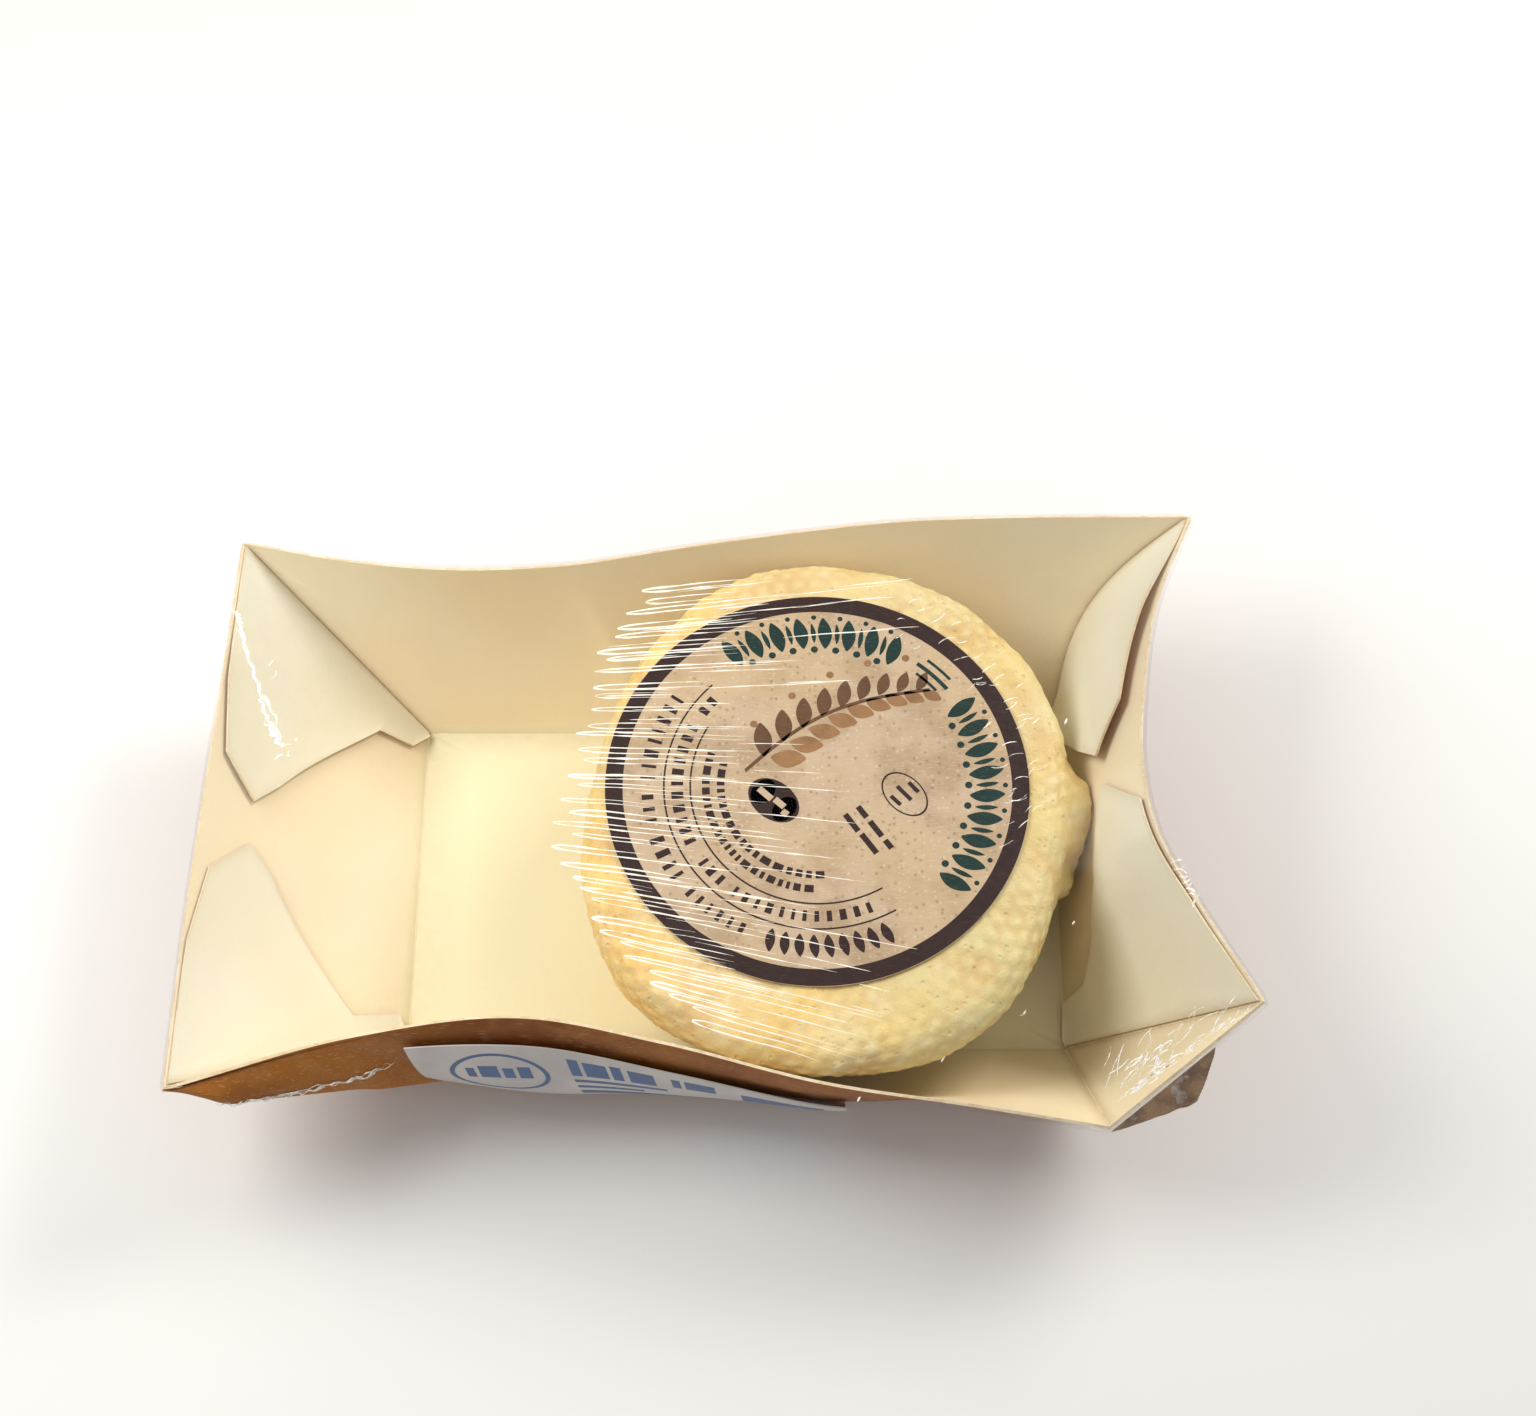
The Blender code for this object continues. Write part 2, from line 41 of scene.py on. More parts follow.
fullTurn = 2.0 * math.pi


def smoothStep(value):  # 0 below 0, 1 above 1, 3v^2 - 2v^3 between
    value = np.clip(value, 0.0, 1.0)
    return value * value * (3.0 - 2.0 * value)


def unitVectors(vectors):  # each vector divided by its own length
    return vectors / np.maximum(np.linalg.norm(vectors, axis=-1, keepdims=True), 1e-9)


def mix(low, high, share):  # low at share 0, high at share 1
    return low + (high - low) * share


def lengthsAlong(points):  # way from a line's first point to each of its points
    return np.concatenate([[0.0], np.cumsum(np.linalg.norm(np.diff(points, axis=0), axis=1))])


def curveThrough(points, steps):
    # cubic Hermite pieces through the points, tangents from central differences over chord length
    points = np.array(points, float)
    along = lengthsAlong(points)
    tangents = np.gradient(points, along, axis=0)
    wanted = np.linspace(0.0, along[-1], steps + 1)
    piece = np.clip(np.searchsorted(along, wanted, side="right") - 1, 0, len(points) - 2)
    span = (along[piece + 1] - along[piece])[:, None]
    t = (wanted - along[piece])[:, None] / span
    far = 3.0 * t ** 2 - 2.0 * t ** 3
    leaving = (t ** 3 - 2.0 * t ** 2 + t) * span * tangents[piece]
    arriving = (t ** 3 - t ** 2) * span * tangents[piece + 1]
    return (1.0 - far) * points[piece] + far * points[piece + 1] + leaving + arriving


def softNoise(first, second, seed, waves, firstReach, secondReach, closed=False):
    # sum of cosines with random directions and phases, scaled to about -1..1; with closed set,
    # the first parameter is an angle and its wave numbers are whole, so that the pattern joins up
    rng = np.random.default_rng(seed)
    total = np.zeros(np.broadcast(first, second).shape)
    for k in range(waves):
        a = rng.uniform(-firstReach, firstReach)
        a = round(a) if closed else a
        b = rng.uniform(-secondReach, secondReach)
        total += np.cos(a * first + b * second + rng.uniform(0.0, fullTurn))
    return total / math.sqrt(waves) * 0.7


def gridQuads(rows, columns, start=0, closed=False, flip=False):
    # four corners of every cell of a grid of points stored row after row
    r, c = np.meshgrid(np.arange(rows - 1), np.arange(columns if closed else columns - 1), indexing="ij")
    right = (c + 1) % columns
    low, high = r * columns, (r + 1) * columns
    quads = np.stack([low + c, low + right, high + right, high + c], -1)
    quads = quads.reshape(-1, 4) + start
    return quads[:, ::-1] if flip else quads


def capFan(ring, centre, flip=False):
    # triangles from a closed ring of point numbers to one centre point
    after = np.roll(ring, -1)
    fan = np.stack([ring, after, np.full(len(ring), centre)], -1)
    return fan[:, ::-1] if flip else fan


def putMesh(name, points, faceSets, materials, creaseAngle, shades=None):
    # faceSets is a list of (array of corner numbers, material number); edges sharper than the crease
    # angle stay crisp, and without one all are smooth; shades are values for each point that the
    # materials read by name; the mesh is in metres
    mesh = bpy.data.meshes.new(name)
    corners = np.concatenate([faces.ravel() for faces, _ in faceSets]).astype(np.int32)
    sizes = np.concatenate([np.full(len(faces), faces.shape[1]) for faces, _ in faceSets])
    starts = np.concatenate([[0], np.cumsum(sizes)[:-1]]).astype(np.int32)
    numbers = np.concatenate([np.full(len(faces), number) for faces, number in faceSets]).astype(np.int32)
    mesh.vertices.add(len(points))
    mesh.vertices.foreach_set("co", (np.asarray(points, float) * mm).astype(np.float32).ravel())
    mesh.loops.add(len(corners))
    mesh.loops.foreach_set("vertex_index", corners)
    mesh.polygons.add(len(sizes))
    mesh.polygons.foreach_set("loop_start", starts)
    mesh.polygons.foreach_set("material_index", numbers)
    mesh.update(calc_edges=True)
    mesh.validate()
    for label, values in (shades or {}).items():
        shade = mesh.attributes.new(label, "FLOAT", "POINT")
        shade.data.foreach_set("value", np.ravel(values).astype(np.float32))
    mesh.shade_smooth()
    if creaseAngle is not None:
        mesh.set_sharp_from_angle(angle=math.radians(creaseAngle))
    for material in materials:
        mesh.materials.append(material)
    obj = bpy.data.objects.new(name, mesh)
    bpy.context.scene.collection.objects.link(obj)
    print(f"{name}: {len(points)} points, {int((sizes - 2).sum())} triangles")
    return obj


def putBodies(name, bodies, material, creaseAngle=60.0):
    # bodies of one material, each given as its points and its sets of faces, in one mesh
    starts = np.cumsum([0] + [len(body[0]) for body in bodies[:-1]])
    faces = [(part + start, 0) for body, start in zip(bodies, starts) for part in body[1:]]
    return putMesh(name, np.concatenate([body[0] for body in bodies]), faces, [material], creaseAngle)


def ringsBody(grid, foot, crown):
    # closed rings of points stacked from foot to crown, shut by a fan at each end; returns points,
    # then the faces round the side, at the foot and at the crown
    rows, columns = grid.shape[:2]
    total = rows * columns
    points = np.concatenate([grid.reshape(-1, 3), [foot], [crown]])
    return (points, gridQuads(rows, columns, closed=True), capFan(np.arange(columns), total, flip=True),
            capFan(np.arange(total - columns, total), total + 1))


def sheetBody(front, back):
    # facing grids joined along their four edges into closed sheets, one sheet or a stack of them;
    # front faces look along columns x rows; returns points, then front, back and edge faces
    rows, columns = front.shape[-3:-1]
    count = rows * columns
    front, back = front.reshape(-1, count, 3), back.reshape(-1, count, 3)
    number = np.arange(count).reshape(rows, columns)
    border = np.concatenate([number[0, :-1], number[:-1, -1], number[-1, :0:-1], number[:0:-1, 0]])
    after = np.roll(border, -1)
    edge = np.stack([after, border, border + count, after + count], -1)
    shift = 2 * count * np.arange(len(front))[:, None, None]
    faces = [(one[None] + shift).reshape(-1, 4) for one in
             (gridQuads(rows, columns), gridQuads(rows, columns, count, flip=True), edge)]
    return np.concatenate([front, back], axis=1).reshape(-1, 3), *faces


def cordBodies(paths, up, halfWidth, halfHeight, sides=6):
    # many thin runs at once: an ellipse across each path, as wide and high as given at each point,
    # lying on the side that up points to, closed at both ends; paths and up are (runs, points, 3)
    along = unitVectors(np.gradient(paths, axis=1))
    across = unitVectors(np.cross(up, along))
    turn = np.linspace(0.0, fullTurn, sides, endpoint=False)
    ring = (across[:, :, None] * np.cos(turn)[:, None] * halfWidth[:, :, None, None]
            + up[:, :, None] * np.sin(turn)[:, None] * halfHeight[:, :, None, None])
    points = paths[:, :, None] + ring
    runs, count = paths.shape[:2]
    shift = (count * sides * np.arange(runs))[:, None, None]
    quads = (gridQuads(count, sides, closed=True)[None] + shift).reshape(-1, 4)
    fan = np.stack([np.zeros(sides - 2, int), np.arange(1, sides - 1), np.arange(2, sides)], -1)
    caps = np.concatenate([fan[:, ::-1], fan + (count - 1) * sides])
    return points.reshape(-1, 3), quads, (caps[None] + shift).reshape(-1, 3)


def gridNormals(grid, closed=False):
    # cross product of the differences along columns and along rows
    if closed:
        along = np.roll(grid, -1, axis=1) - np.roll(grid, 1, axis=1)
    else:
        along = np.gradient(grid, axis=1)
    return unitVectors(np.cross(along, np.gradient(grid, axis=0)))


def addNode(tree, kind, sockets=None, **settings):
    # new node with its own settings; a socket value links it, any other value is set on the socket
    node = tree.nodes.new(kind)
    for label, value in settings.items():
        setattr(node, label, value)
    for label, value in (sockets or {}).items():
        if isinstance(value, bpy.types.NodeSocket):
            tree.links.new(value, node.inputs[label])
        else:
            node.inputs[label].default_value = value
    return node


def blend(tree, share, low, high):
    # colour between low and high; both may be a colour or a socket
    ends = [end if isinstance(end, bpy.types.NodeSocket) else (*end, 1.0) for end in (low, high)]
    return addNode(tree, "ShaderNodeMix", {0: share, 6: ends[0], 7: ends[1]}, data_type="RGBA").outputs[2]


def calculate(tree, way, first, second, clamped=False):
    return addNode(tree, "ShaderNodeMath", {0: first, 1: second}, operation=way, use_clamp=clamped).outputs[0]


def times(tree, first, second, clamped=False):
    return calculate(tree, "MULTIPLY", first, second, clamped)


def tint(tree, colour, mask, share, other):
    # the colour, with this share of another one where the mask is 1
    return blend(tree, times(tree, mask, share), colour, other)


def within(tree, value, start, end, **settings):
    # 0 at start and 1 at end, held to that range on both sides
    sockets = {"Value": value, "From Min": start, "From Max": end}
    return addNode(tree, "ShaderNodeMapRange", sockets, **settings).outputs[0]


def objectPlace(tree):
    return addNode(tree, "ShaderNodeTexCoord").outputs["Object"]


def scaleFor(tree, size):  # texture scale for features of this size in millimetres
    return calculate(tree, "DIVIDE", 1.0 / mm, size)


def newGroup(name, inputs, outputs):
    # node group whose inputs are numbers with these starting values and whose outputs are numbers
    group = bpy.data.node_groups.new(name, "ShaderNodeTree")
    for label, value in inputs.items():
        socket = group.interface.new_socket(name=label, in_out="INPUT", socket_type="NodeSocketFloat")
        socket.default_value = value
    for label in outputs:
        group.interface.new_socket(name=label, in_out="OUTPUT", socket_type="NodeSocketFloat")
    return group, addNode(group, "NodeGroupInput").outputs, addNode(group, "NodeGroupOutput").inputs


def makeSoftPatches():
    # mask of soft blotches: noise of the given size in millimetres, stretched between two limits
    values = {"Size": 10.0, "Detail": 3.0, "From": 0.4, "To": 0.6, "Shift": 0.0}
    group, given, result = newGroup("softPatches", values, ["Mask"])
    place = objectPlace(group)
    moved = addNode(group, "ShaderNodeVectorMath", {0: place, 1: given["Shift"]}, operation="ADD").outputs[0]
    scale = scaleFor(group, given["Size"])
    noise = addNode(group, "ShaderNodeTexNoise", {"Vector": moved, "Scale": scale, "Detail": given["Detail"]})
    mask = within(group, noise.outputs[0], given["From"], given["To"], interpolation_type="SMOOTHSTEP")
    group.links.new(mask, result["Mask"])
    return group


def makeFibreGrain():
    # paper fibres: noise drawn out to the fibre's length along one direction, crossed with a
    # second one, and flecks where the first is highest
    values = {"Length": 3.0, "Width": 0.35, "Flecks": 0.66}
    group, given, result = newGroup("fibreGrain", values, ["Height", "Fleck"])
    place = objectPlace(group)
    long = scaleFor(group, given["Length"])
    short = scaleFor(group, given["Width"])
    layers = []
    for first, second in ((long, short), (short, long)):
        size = addNode(group, "ShaderNodeCombineXYZ", {0: first, 1: second, 2: short}).outputs[0]
        drawn = addNode(group, "ShaderNodeVectorMath", {0: place, 1: size}, operation="MULTIPLY").outputs[0]
        noise = addNode(group, "ShaderNodeTexNoise", {"Vector": drawn, "Scale": 1.0, "Detail": 2.0})
        layers.append(noise.outputs[0])
    height = times(group, calculate(group, "ADD", *layers), 0.5)
    higher = calculate(group, "ADD", given["Flecks"], 0.05)
    group.links.new(height, result["Height"])
    group.links.new(within(group, layers[0], given["Flecks"], higher), result["Fleck"])
    return group


def makeSpecks():
    # small round specks: cells of the given spacing in millimetres, dark inside the given radius,
    # and only in the given share of the cells
    values = {"Spacing": 1.2, "Radius": 0.3, "Share": 0.4}
    group, given, result = newGroup("scatteredSpecks", values, ["Mask"])
    place = objectPlace(group)
    scale = scaleFor(group, given["Spacing"])
    cells = addNode(group, "ShaderNodeTexVoronoi", {"Vector": place, "Scale": scale})
    inside = within(group, cells.outputs["Distance"], given["Radius"], 0.0, interpolation_type="SMOOTHSTEP")
    chance = addNode(group, "ShaderNodeSeparateColor", {0: cells.outputs["Color"]}).outputs[0]
    kept = calculate(group, "LESS_THAN", chance, given["Share"])
    group.links.new(times(group, inside, kept), result["Mask"])
    return group


def makeFoldShade():
    # rubbed and darkened board along folds: the mesh's own fold value, broken up by fine noise
    group, given, result = newGroup("foldShade", {"Strength": 1.0, "Breaks": 0.5}, ["Mask"])
    fold = addNode(group, "ShaderNodeAttribute", attribute_name="fold").outputs["Fac"]
    place = objectPlace(group)
    noise = addNode(group, "ShaderNodeTexNoise", {"Vector": place, "Scale": 420.0, "Detail": 4.0}).outputs[0]
    lost = times(group, times(group, noise, given["Breaks"]), 1.4)
    left = calculate(group, "SUBTRACT", 1.0, lost, clamped=True)
    worn = times(group, times(group, fold, left), given["Strength"], clamped=True)
    group.links.new(worn, result["Mask"])
    return group


softPatches = makeSoftPatches()
fibreGrain = makeFibreGrain()
scatteredSpecks = makeSpecks()
foldShade = makeFoldShade()


def useGroup(tree, group, **values):
    # the group's outputs with these values on its inputs
    node = tree.nodes.new("ShaderNodeGroup")
    node.node_tree = group
    for label, value in values.items():
        node.inputs[label].default_value = value
    return node.outputs


def softMask(tree, size, detail, start, end, shift=0.0):
    return useGroup(tree, softPatches, Size=size, Detail=detail, From=start, To=end, Shift=shift)["Mask"]


def specks(tree, spacing, radius, share):
    return useGroup(tree, scatteredSpecks, Spacing=spacing, Radius=radius, Share=share)["Mask"]


def newMaterial(name):
    material = bpy.data.materials.new(name)
    material.use_nodes = True
    return material, material.node_tree, material.node_tree.nodes["Principled BSDF"]


def ranged(tree, value, low, high):
    # a 0..1 socket spread between low and high
    return addNode(tree, "ShaderNodeMapRange", {"Value": value, "To Min": low, "To Max": high}).outputs[0]


def addBump(tree, shader, height, distance):
    bump = addNode(tree, "ShaderNodeBump", {"Height": height, "Distance": distance, "Strength": 1.0})
    tree.links.new(bump.outputs[0], shader.inputs["Normal"])


def makeCard(name, look):
    # folded board: two tints in large soft patches, a third in small ones, fibres and flecks, worn folds; a
    # look with a base light tint has it on the flat base and not on the walls above, as painted light, since
    # base and walls are one board
    material, tree, shader = newMaterial(name)
    large = softMask(tree, look["patchSize"], 2.0, 0.36, 0.66)
    small = softMask(tree, look["patchSize"] / 6.0, 5.0, 0.45, 0.75, 0.3)
    fibre = useGroup(tree, fibreGrain, Length=look["fibreLength"], Width=0.3, Flecks=look["flecks"])
    fold = useGroup(tree, foldShade, Strength=look["foldStrength"], Breaks=0.45)["Mask"]
    colour = blend(tree, large, look["colour"], look["patch"])
    colour = tint(tree, colour, small, look["smallShare"], look["smallPatch"])
    colour = tint(tree, colour, fibre["Fleck"], look["fleckShare"], look["fleck"])
    if "baseLightTint" in look:
        height = addNode(tree, "ShaderNodeSeparateXYZ", {0: objectPlace(tree)}).outputs["Z"]
        raised = within(tree, height, mm, 3.0 * mm)
        colour = blend(tree, raised, blend(tree, 0.75, colour, look["baseLightTint"]), colour)
    tree.links.new(blend(tree, fold, colour, look["fold"]), shader.inputs["Base Color"])
    tree.links.new(ranged(tree, small, *look["roughness"]), shader.inputs["Roughness"])
    addBump(tree, shader, fibre["Height"], look["relief"] * mm)
    shader.inputs["Specular IOR Level"].default_value = 0.25
    return material


cardLooks = {
    "creamCard": {"colour": (0.90, 0.80, 0.59), "patch": (0.90, 0.77, 0.53), "smallPatch": (0.85, 0.75, 0.55),
                  # painted light: the flat base is tinted yellower than the walls of the same board
                  "baseLightTint": (0.90, 0.86, 0.60),
                  "smallShare": 0.35, "fleck": (0.68, 0.58, 0.40), "fleckShare": 0.18,
                  "fold": (0.42, 0.26, 0.11),
                  "foldStrength": 0.6, "patchSize": 46.0, "fibreLength": 2.6, "flecks": 0.68,
                  "roughness": (0.42, 0.60), "relief": 0.05},
    "kraftCard": {"colour": (0.38, 0.135, 0.018), "patch": (0.25, 0.070, 0.009),
                  "smallPatch": (0.48, 0.22, 0.06),
                  "smallShare": 0.5, "fleck": (0.55, 0.36, 0.18), "fleckShare": 0.5,
                  "fold": (0.58, 0.36, 0.17),
                  "foldStrength": 0.8, "patchSize": 30.0, "fibreLength": 3.6, "flecks": 0.62,
                  "roughness": (0.55, 0.78), "relief": 0.12},
    "cardEdge": {"colour": (0.84, 0.72, 0.52), "patch": (0.74, 0.58, 0.36), "smallPatch": (0.60, 0.42, 0.22),
                 "smallShare": 0.6, "fleck": (0.92, 0.86, 0.74), "fleckShare": 0.6,
                 "fold": (0.45, 0.28, 0.12),
                 "foldStrength": 0.3, "patchSize": 9.0, "fibreLength": 1.2, "flecks": 0.58,
                 "roughness": (0.7, 0.9), "relief": 0.10},
}
creamCard = makeCard("cream_card", cardLooks["creamCard"])
kraftCard = makeCard("kraft_card", cardLooks["kraftCard"])
cardEdge = makeCard("card_edge", cardLooks["cardEdge"])
# painted light: the flaps are the same board as the walls, but get a whiter and greyer copy of the cream
# board for the light they catch
flapCard = makeCard("flap_card", {**cardLooks["creamCard"], "colour": (0.85, 0.82, 0.68),
                                  "patch": (0.85, 0.79, 0.61), "smallPatch": (0.80, 0.76, 0.60)})
print("card materials made")


trayShape = {
    "baseLength": 136.0, "baseWidth": 71.0, "card": 0.6,
    "frontPanel": 46.4, "backPanel": 46.0, "endPanel": 54.2,
    "bulgeFade": 0.35, "leastSlack": 0.25, "cornerPull": (-7.8, 2.2, 0.0), "cornerSkew": 1.15,
    "rows": 44, "longStations": 132, "endStations": 96, "webStations": 16,
    # how far the wear spreads from a corner fold and from the base's edge, and how strong the latter is
    "cornerWear": 1.3, "baseWear": 1.2, "baseWearStrength": 0.55, "floorRings": (0.85, 0.6, 0.3),
    "tipFrontLeft": (-109.0, -56.0, 37.0), "creaseFrontRight": (72.0, -61.5, 33.0),
    "tipFrontRight": (100.0, -42.0, 50.0), "tipBackRight": (94.0, 66.2, 44.0),
    "tipBackLeft": (-104.0, 61.0, 40.0),
    "frontRim": [(-73.0, -45.8, 38.5), (-40.0, -42.4, 40.0), (-14.0, -47.2, 40.0), (18.0, -54.6, 38.0),
                 (45.0, -58.0, 36.0)],
    "rightRim": [(88.7, -22.0, 50.3), (81.6, -8.0, 52.0), (79.3, 6.7, 52.5), (80.7, 22.3, 51.5),
                 (84.3, 41.6, 49.0)],
    "backRim": [(56.0, 66.0, 43.6), (33.0, 65.2, 43.0), (12.0, 63.0, 42.2), (-9.0, 59.8, 42.0),
                (-38.0, 55.3, 41.0), (-60.0, 54.8, 40.2), (-82.0, 56.8, 40.0)],
    "leftRim": [(-105.6, 31.0, 38.0), (-107.0, 8.0, 37.0), (-108.3, -19.0, 36.5)],
}


def makeWall(start, end, rim, outward, panel, skew, stations, pulledAt=None):
    # straight line from base edge to rim curve plus a sine bulge; a panel longer than its chord by
    # s bulges by sqrt(0.375 * chord * s), which dies away towards the corner folds; a pulled
    # corner fold bows by a sine of its own
    share = np.linspace(0.0, 1.0, stations + 1)
    base = mix(np.array(start), np.array(end), share[:, None])
    edge = curveThrough(rim, stations)
    outward = np.array(outward)
    chord = np.hypot((edge - base) @ outward, edge[:, 2])
    slack = np.maximum(panel - chord, trayShape["leastSlack"])
    fade = smoothStep(np.minimum(share, 1.0 - share) / trayShape["bulgeFade"])
    bulge = np.sqrt(0.375 * chord * slack) * fade * math.copysign(1.0, skew)
    pull = np.zeros((stations + 1, 3))
    if pulledAt is not None:
        near = 1.0 - smoothStep(np.abs(share - pulledAt) / trayShape["bulgeFade"])
        pull = near[:, None] * np.array(trayShape["cornerPull"])
    return {"share": share, "base": base, "rim": edge, "outward": outward, "bulge": bulge, "skew": abs(skew),
            "pull": pull}


def wallSpots(wall, along, height):
    # points of the wall's inner surface at shares of its length and height, arrays of any shape
    def look(table):
        return np.stack([np.interp(along, wall["share"], table[:, k]) for k in range(3)], -1)
    bow = np.interp(along, wall["share"], wall["bulge"]) * np.sin(math.pi * height ** wall["skew"])
    pull = look(wall["pull"]) * np.sin(math.pi * height ** trayShape["cornerSkew"])[..., None]
    flat = mix(look(wall["base"]), look(wall["rim"]), height[..., None])
    return flat + bow[..., None] * wall["outward"] + pull


def makeWalls():
    # a positive skew makes the bulge outward and sets how high it peaks, a negative one inward
    s = trayShape
    x, y, z = 0.5 * s["baseLength"], 0.5 * s["baseWidth"], s["card"]
    frontLeft, frontRight, backRight, backLeft = (-x, -y, z), (x, -y, z), (x, y, z), (-x, y, z)
    return {
        "front": makeWall(frontLeft, frontRight, [s["tipFrontLeft"], *s["frontRim"], s["creaseFrontRight"]],
                          (0.0, -1.0, 0.0), s["frontPanel"], 0.75, s["longStations"]),
        "web": makeWall(frontRight, frontRight, [s["creaseFrontRight"], s["tipFrontRight"]],
                        (0.0, -1.0, 0.0), 0.0, 1.0, s["webStations"]),
        "right": makeWall(frontRight, backRight, [s["tipFrontRight"], *s["rightRim"], s["tipBackRight"]],
                          (1.0, 0.0, 0.0), s["endPanel"], -1.1, s["endStations"], pulledAt=1.0),
        "back": makeWall(backRight, backLeft, [s["tipBackRight"], *s["backRim"], s["tipBackLeft"]],
                         (0.0, 1.0, 0.0), s["backPanel"], 0.85, s["longStations"], pulledAt=0.0),
        "left": makeWall(backLeft, frontLeft, [s["tipBackLeft"], *s["leftRim"], s["tipFrontLeft"]],
                         (-1.0, 0.0, 0.0), s["endPanel"], 1.0, s["endStations"]),
    }


walls = makeWalls()
# number of each wall's first station in a ring of all of them, and of the ring's end
wallStarts = np.concatenate([[0], np.cumsum([len(wall["share"]) - 1 for wall in walls.values()])])


def wallRing(heights):
    # all walls' inner lines joined into one closed ring of stations, one row for each height
    rows = []
    for wall in walls.values():
        along, height = np.meshgrid(wall["share"][:-1], heights)
        rows.append(wallSpots(wall, along, height))
    return np.concatenate(rows, axis=1)


def foldValues(grid, corners, nearness):
    # for each point of a closed grid, 1 on a corner fold and falling off as a bell with distance
    # along its own row
    away = np.linalg.norm(grid[:, :, None] - grid[:, None, corners], axis=-1).min(axis=2)
    return np.exp(-(away / nearness) ** 2)


def buildTray():
    # one closed skin of rings: under the base, up the outer walls, over the rim, down the inner
    # walls and in over the floor
    s = trayShape
    card = s["card"]
    heights = np.linspace(0.0, 1.0, s["rows"] + 1)
    inner = wallRing(heights)
    outer = inner + card * gridNormals(inner, closed=True)
    outer[0] = inner[0] * (1.0 + card / s["baseLength"], 1.0 + card / s["baseWidth"], 0.0)
    rows, count = inner.shape[:2]
    fold = foldValues(inner, wallStarts[:-1], s["cornerWear"])
    baseWear = np.exp(-(heights[:, None] * s["backPanel"] / s["baseWear"]) ** 2)
    fold = np.maximum(fold, s["baseWearStrength"] * baseWear)
    fold[-1] = 0.0
    inwards = len(s["floorRings"])
    shrink = np.array(s["floorRings"])[:, None, None]
    shrink = np.concatenate([shrink, shrink, np.ones((inwards, 1, 1))], -1)
    floorRings, underRings = inner[0] * shrink, outer[0] * shrink
    bare = np.zeros((inwards, count))
    grid = np.concatenate([underRings[::-1], outer, inner[::-1], floorRings])
    folds = np.concatenate([bare, fold, fold[::-1], bare]).ravel()
    points, side, under, floor = ringsBody(grid, (0.0, 0.0, 0.0), (0.0, 0.0, card))
    rimFrom = (rows + inwards - 1) * count
    kraft, edge, cream = np.split(side, [rimFrom, rimFrom + count])
    return putMesh("folded_tray", points, [(kraft, 1), (edge, 2), (cream, 0), (under, 1), (floor, 0)],
                   [creamCard, kraftCard, cardEdge], 25.0,
                   {"fold": np.concatenate([folds, [0.0, 0.0]])})


tray = buildTray()
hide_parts("tray")


# free edge of each flap from the base to the rim: shares along its wall from its own corner, and
# shares of the wall's height
cornerFlaps = {
    "flap_back_left": {"wall": "left", "mirrored": False, "lift": 0.7, "freeEdge": [
        (0.02, 0.012), (0.096, 0.092), (0.124, 0.249), (0.395, 0.635), (0.451, 0.756),
        (0.387, 0.936), (0.257, 0.99)]},
    "flap_front_left": {"wall": "left", "mirrored": True, "lift": 0.4, "freeEdge": [
        (0.02, 0.012), (0.097, 0.06), (0.10, 0.26), (0.150, 0.32), (0.416, 0.648),
        (0.463, 0.76), (0.395, 0.935),
        (0.258, 0.99)]},
    "flap_front_right": {"wall": "right", "mirrored": False, "lift": 0.6, "freeEdge": [
        (0.02, 0.012), (0.13, 0.03), (0.154, 0.20), (0.332, 0.574), (0.488, 0.745),
        (0.484, 0.771), (0.396, 0.985),
        (0.254, 0.993)]},
    "flap_back_right": {"wall": "right", "mirrored": True, "lift": 2.2, "freeEdge": [
        (0.02, 0.012), (0.10, 0.09), (0.14, 0.27), (0.41, 0.66), (0.465, 0.778),
        (0.401, 0.928), (0.230, 0.99)]},
}
flapShape = {"foldFrom": 0.012, "foldTo": 0.99, "foldAt": 0.004, "clear": 0.12, "card": 0.5,
             "rows": 96, "columns": 30, "panel": 50.0, "step": 0.004, "wear": 30.0, "freeWear": 0.5}


def evenAlong(points, count):
    # points spread evenly by length over a polyline
    along = lengthsAlong(points)
    wanted = np.linspace(0.0, along[-1], count)
    return np.stack([np.interp(wanted, along, points[:, k]) for k in range(points.shape[1])], -1)


def straightOnWall(wall, mirrored, corners, count):
    # points along a flap's outline: straight between its corners on the unfolded wall, which is
    # wider at the rim than at the base, and exactly through each corner; shares in, shares out
    near, far = (-1, 0) if mirrored else (0, -1)
    low, high = wall["base"][[near, far], 1], wall["rim"][[near, far], 1]
    along, height = np.array(corners, float).T
    across = mix(mix(low[0], high[0], height), mix(low[1], high[1], height), along)
    spot = np.stack([across, flapShape["panel"] * height], -1)
    way = lengthsAlong(spot)
    wanted = np.sort(np.concatenate([np.linspace(0.0, way[-1], count - len(way) + 2), way[1:-1]]))
    y, height = np.interp(wanted, way, spot[:, 0]), np.interp(wanted, way, spot[:, 1]) / flapShape["panel"]
    start, end = mix(low[0], high[0], height), mix(low[1], high[1], height)
    return np.stack([(y - start) / (end - start), height], -1)


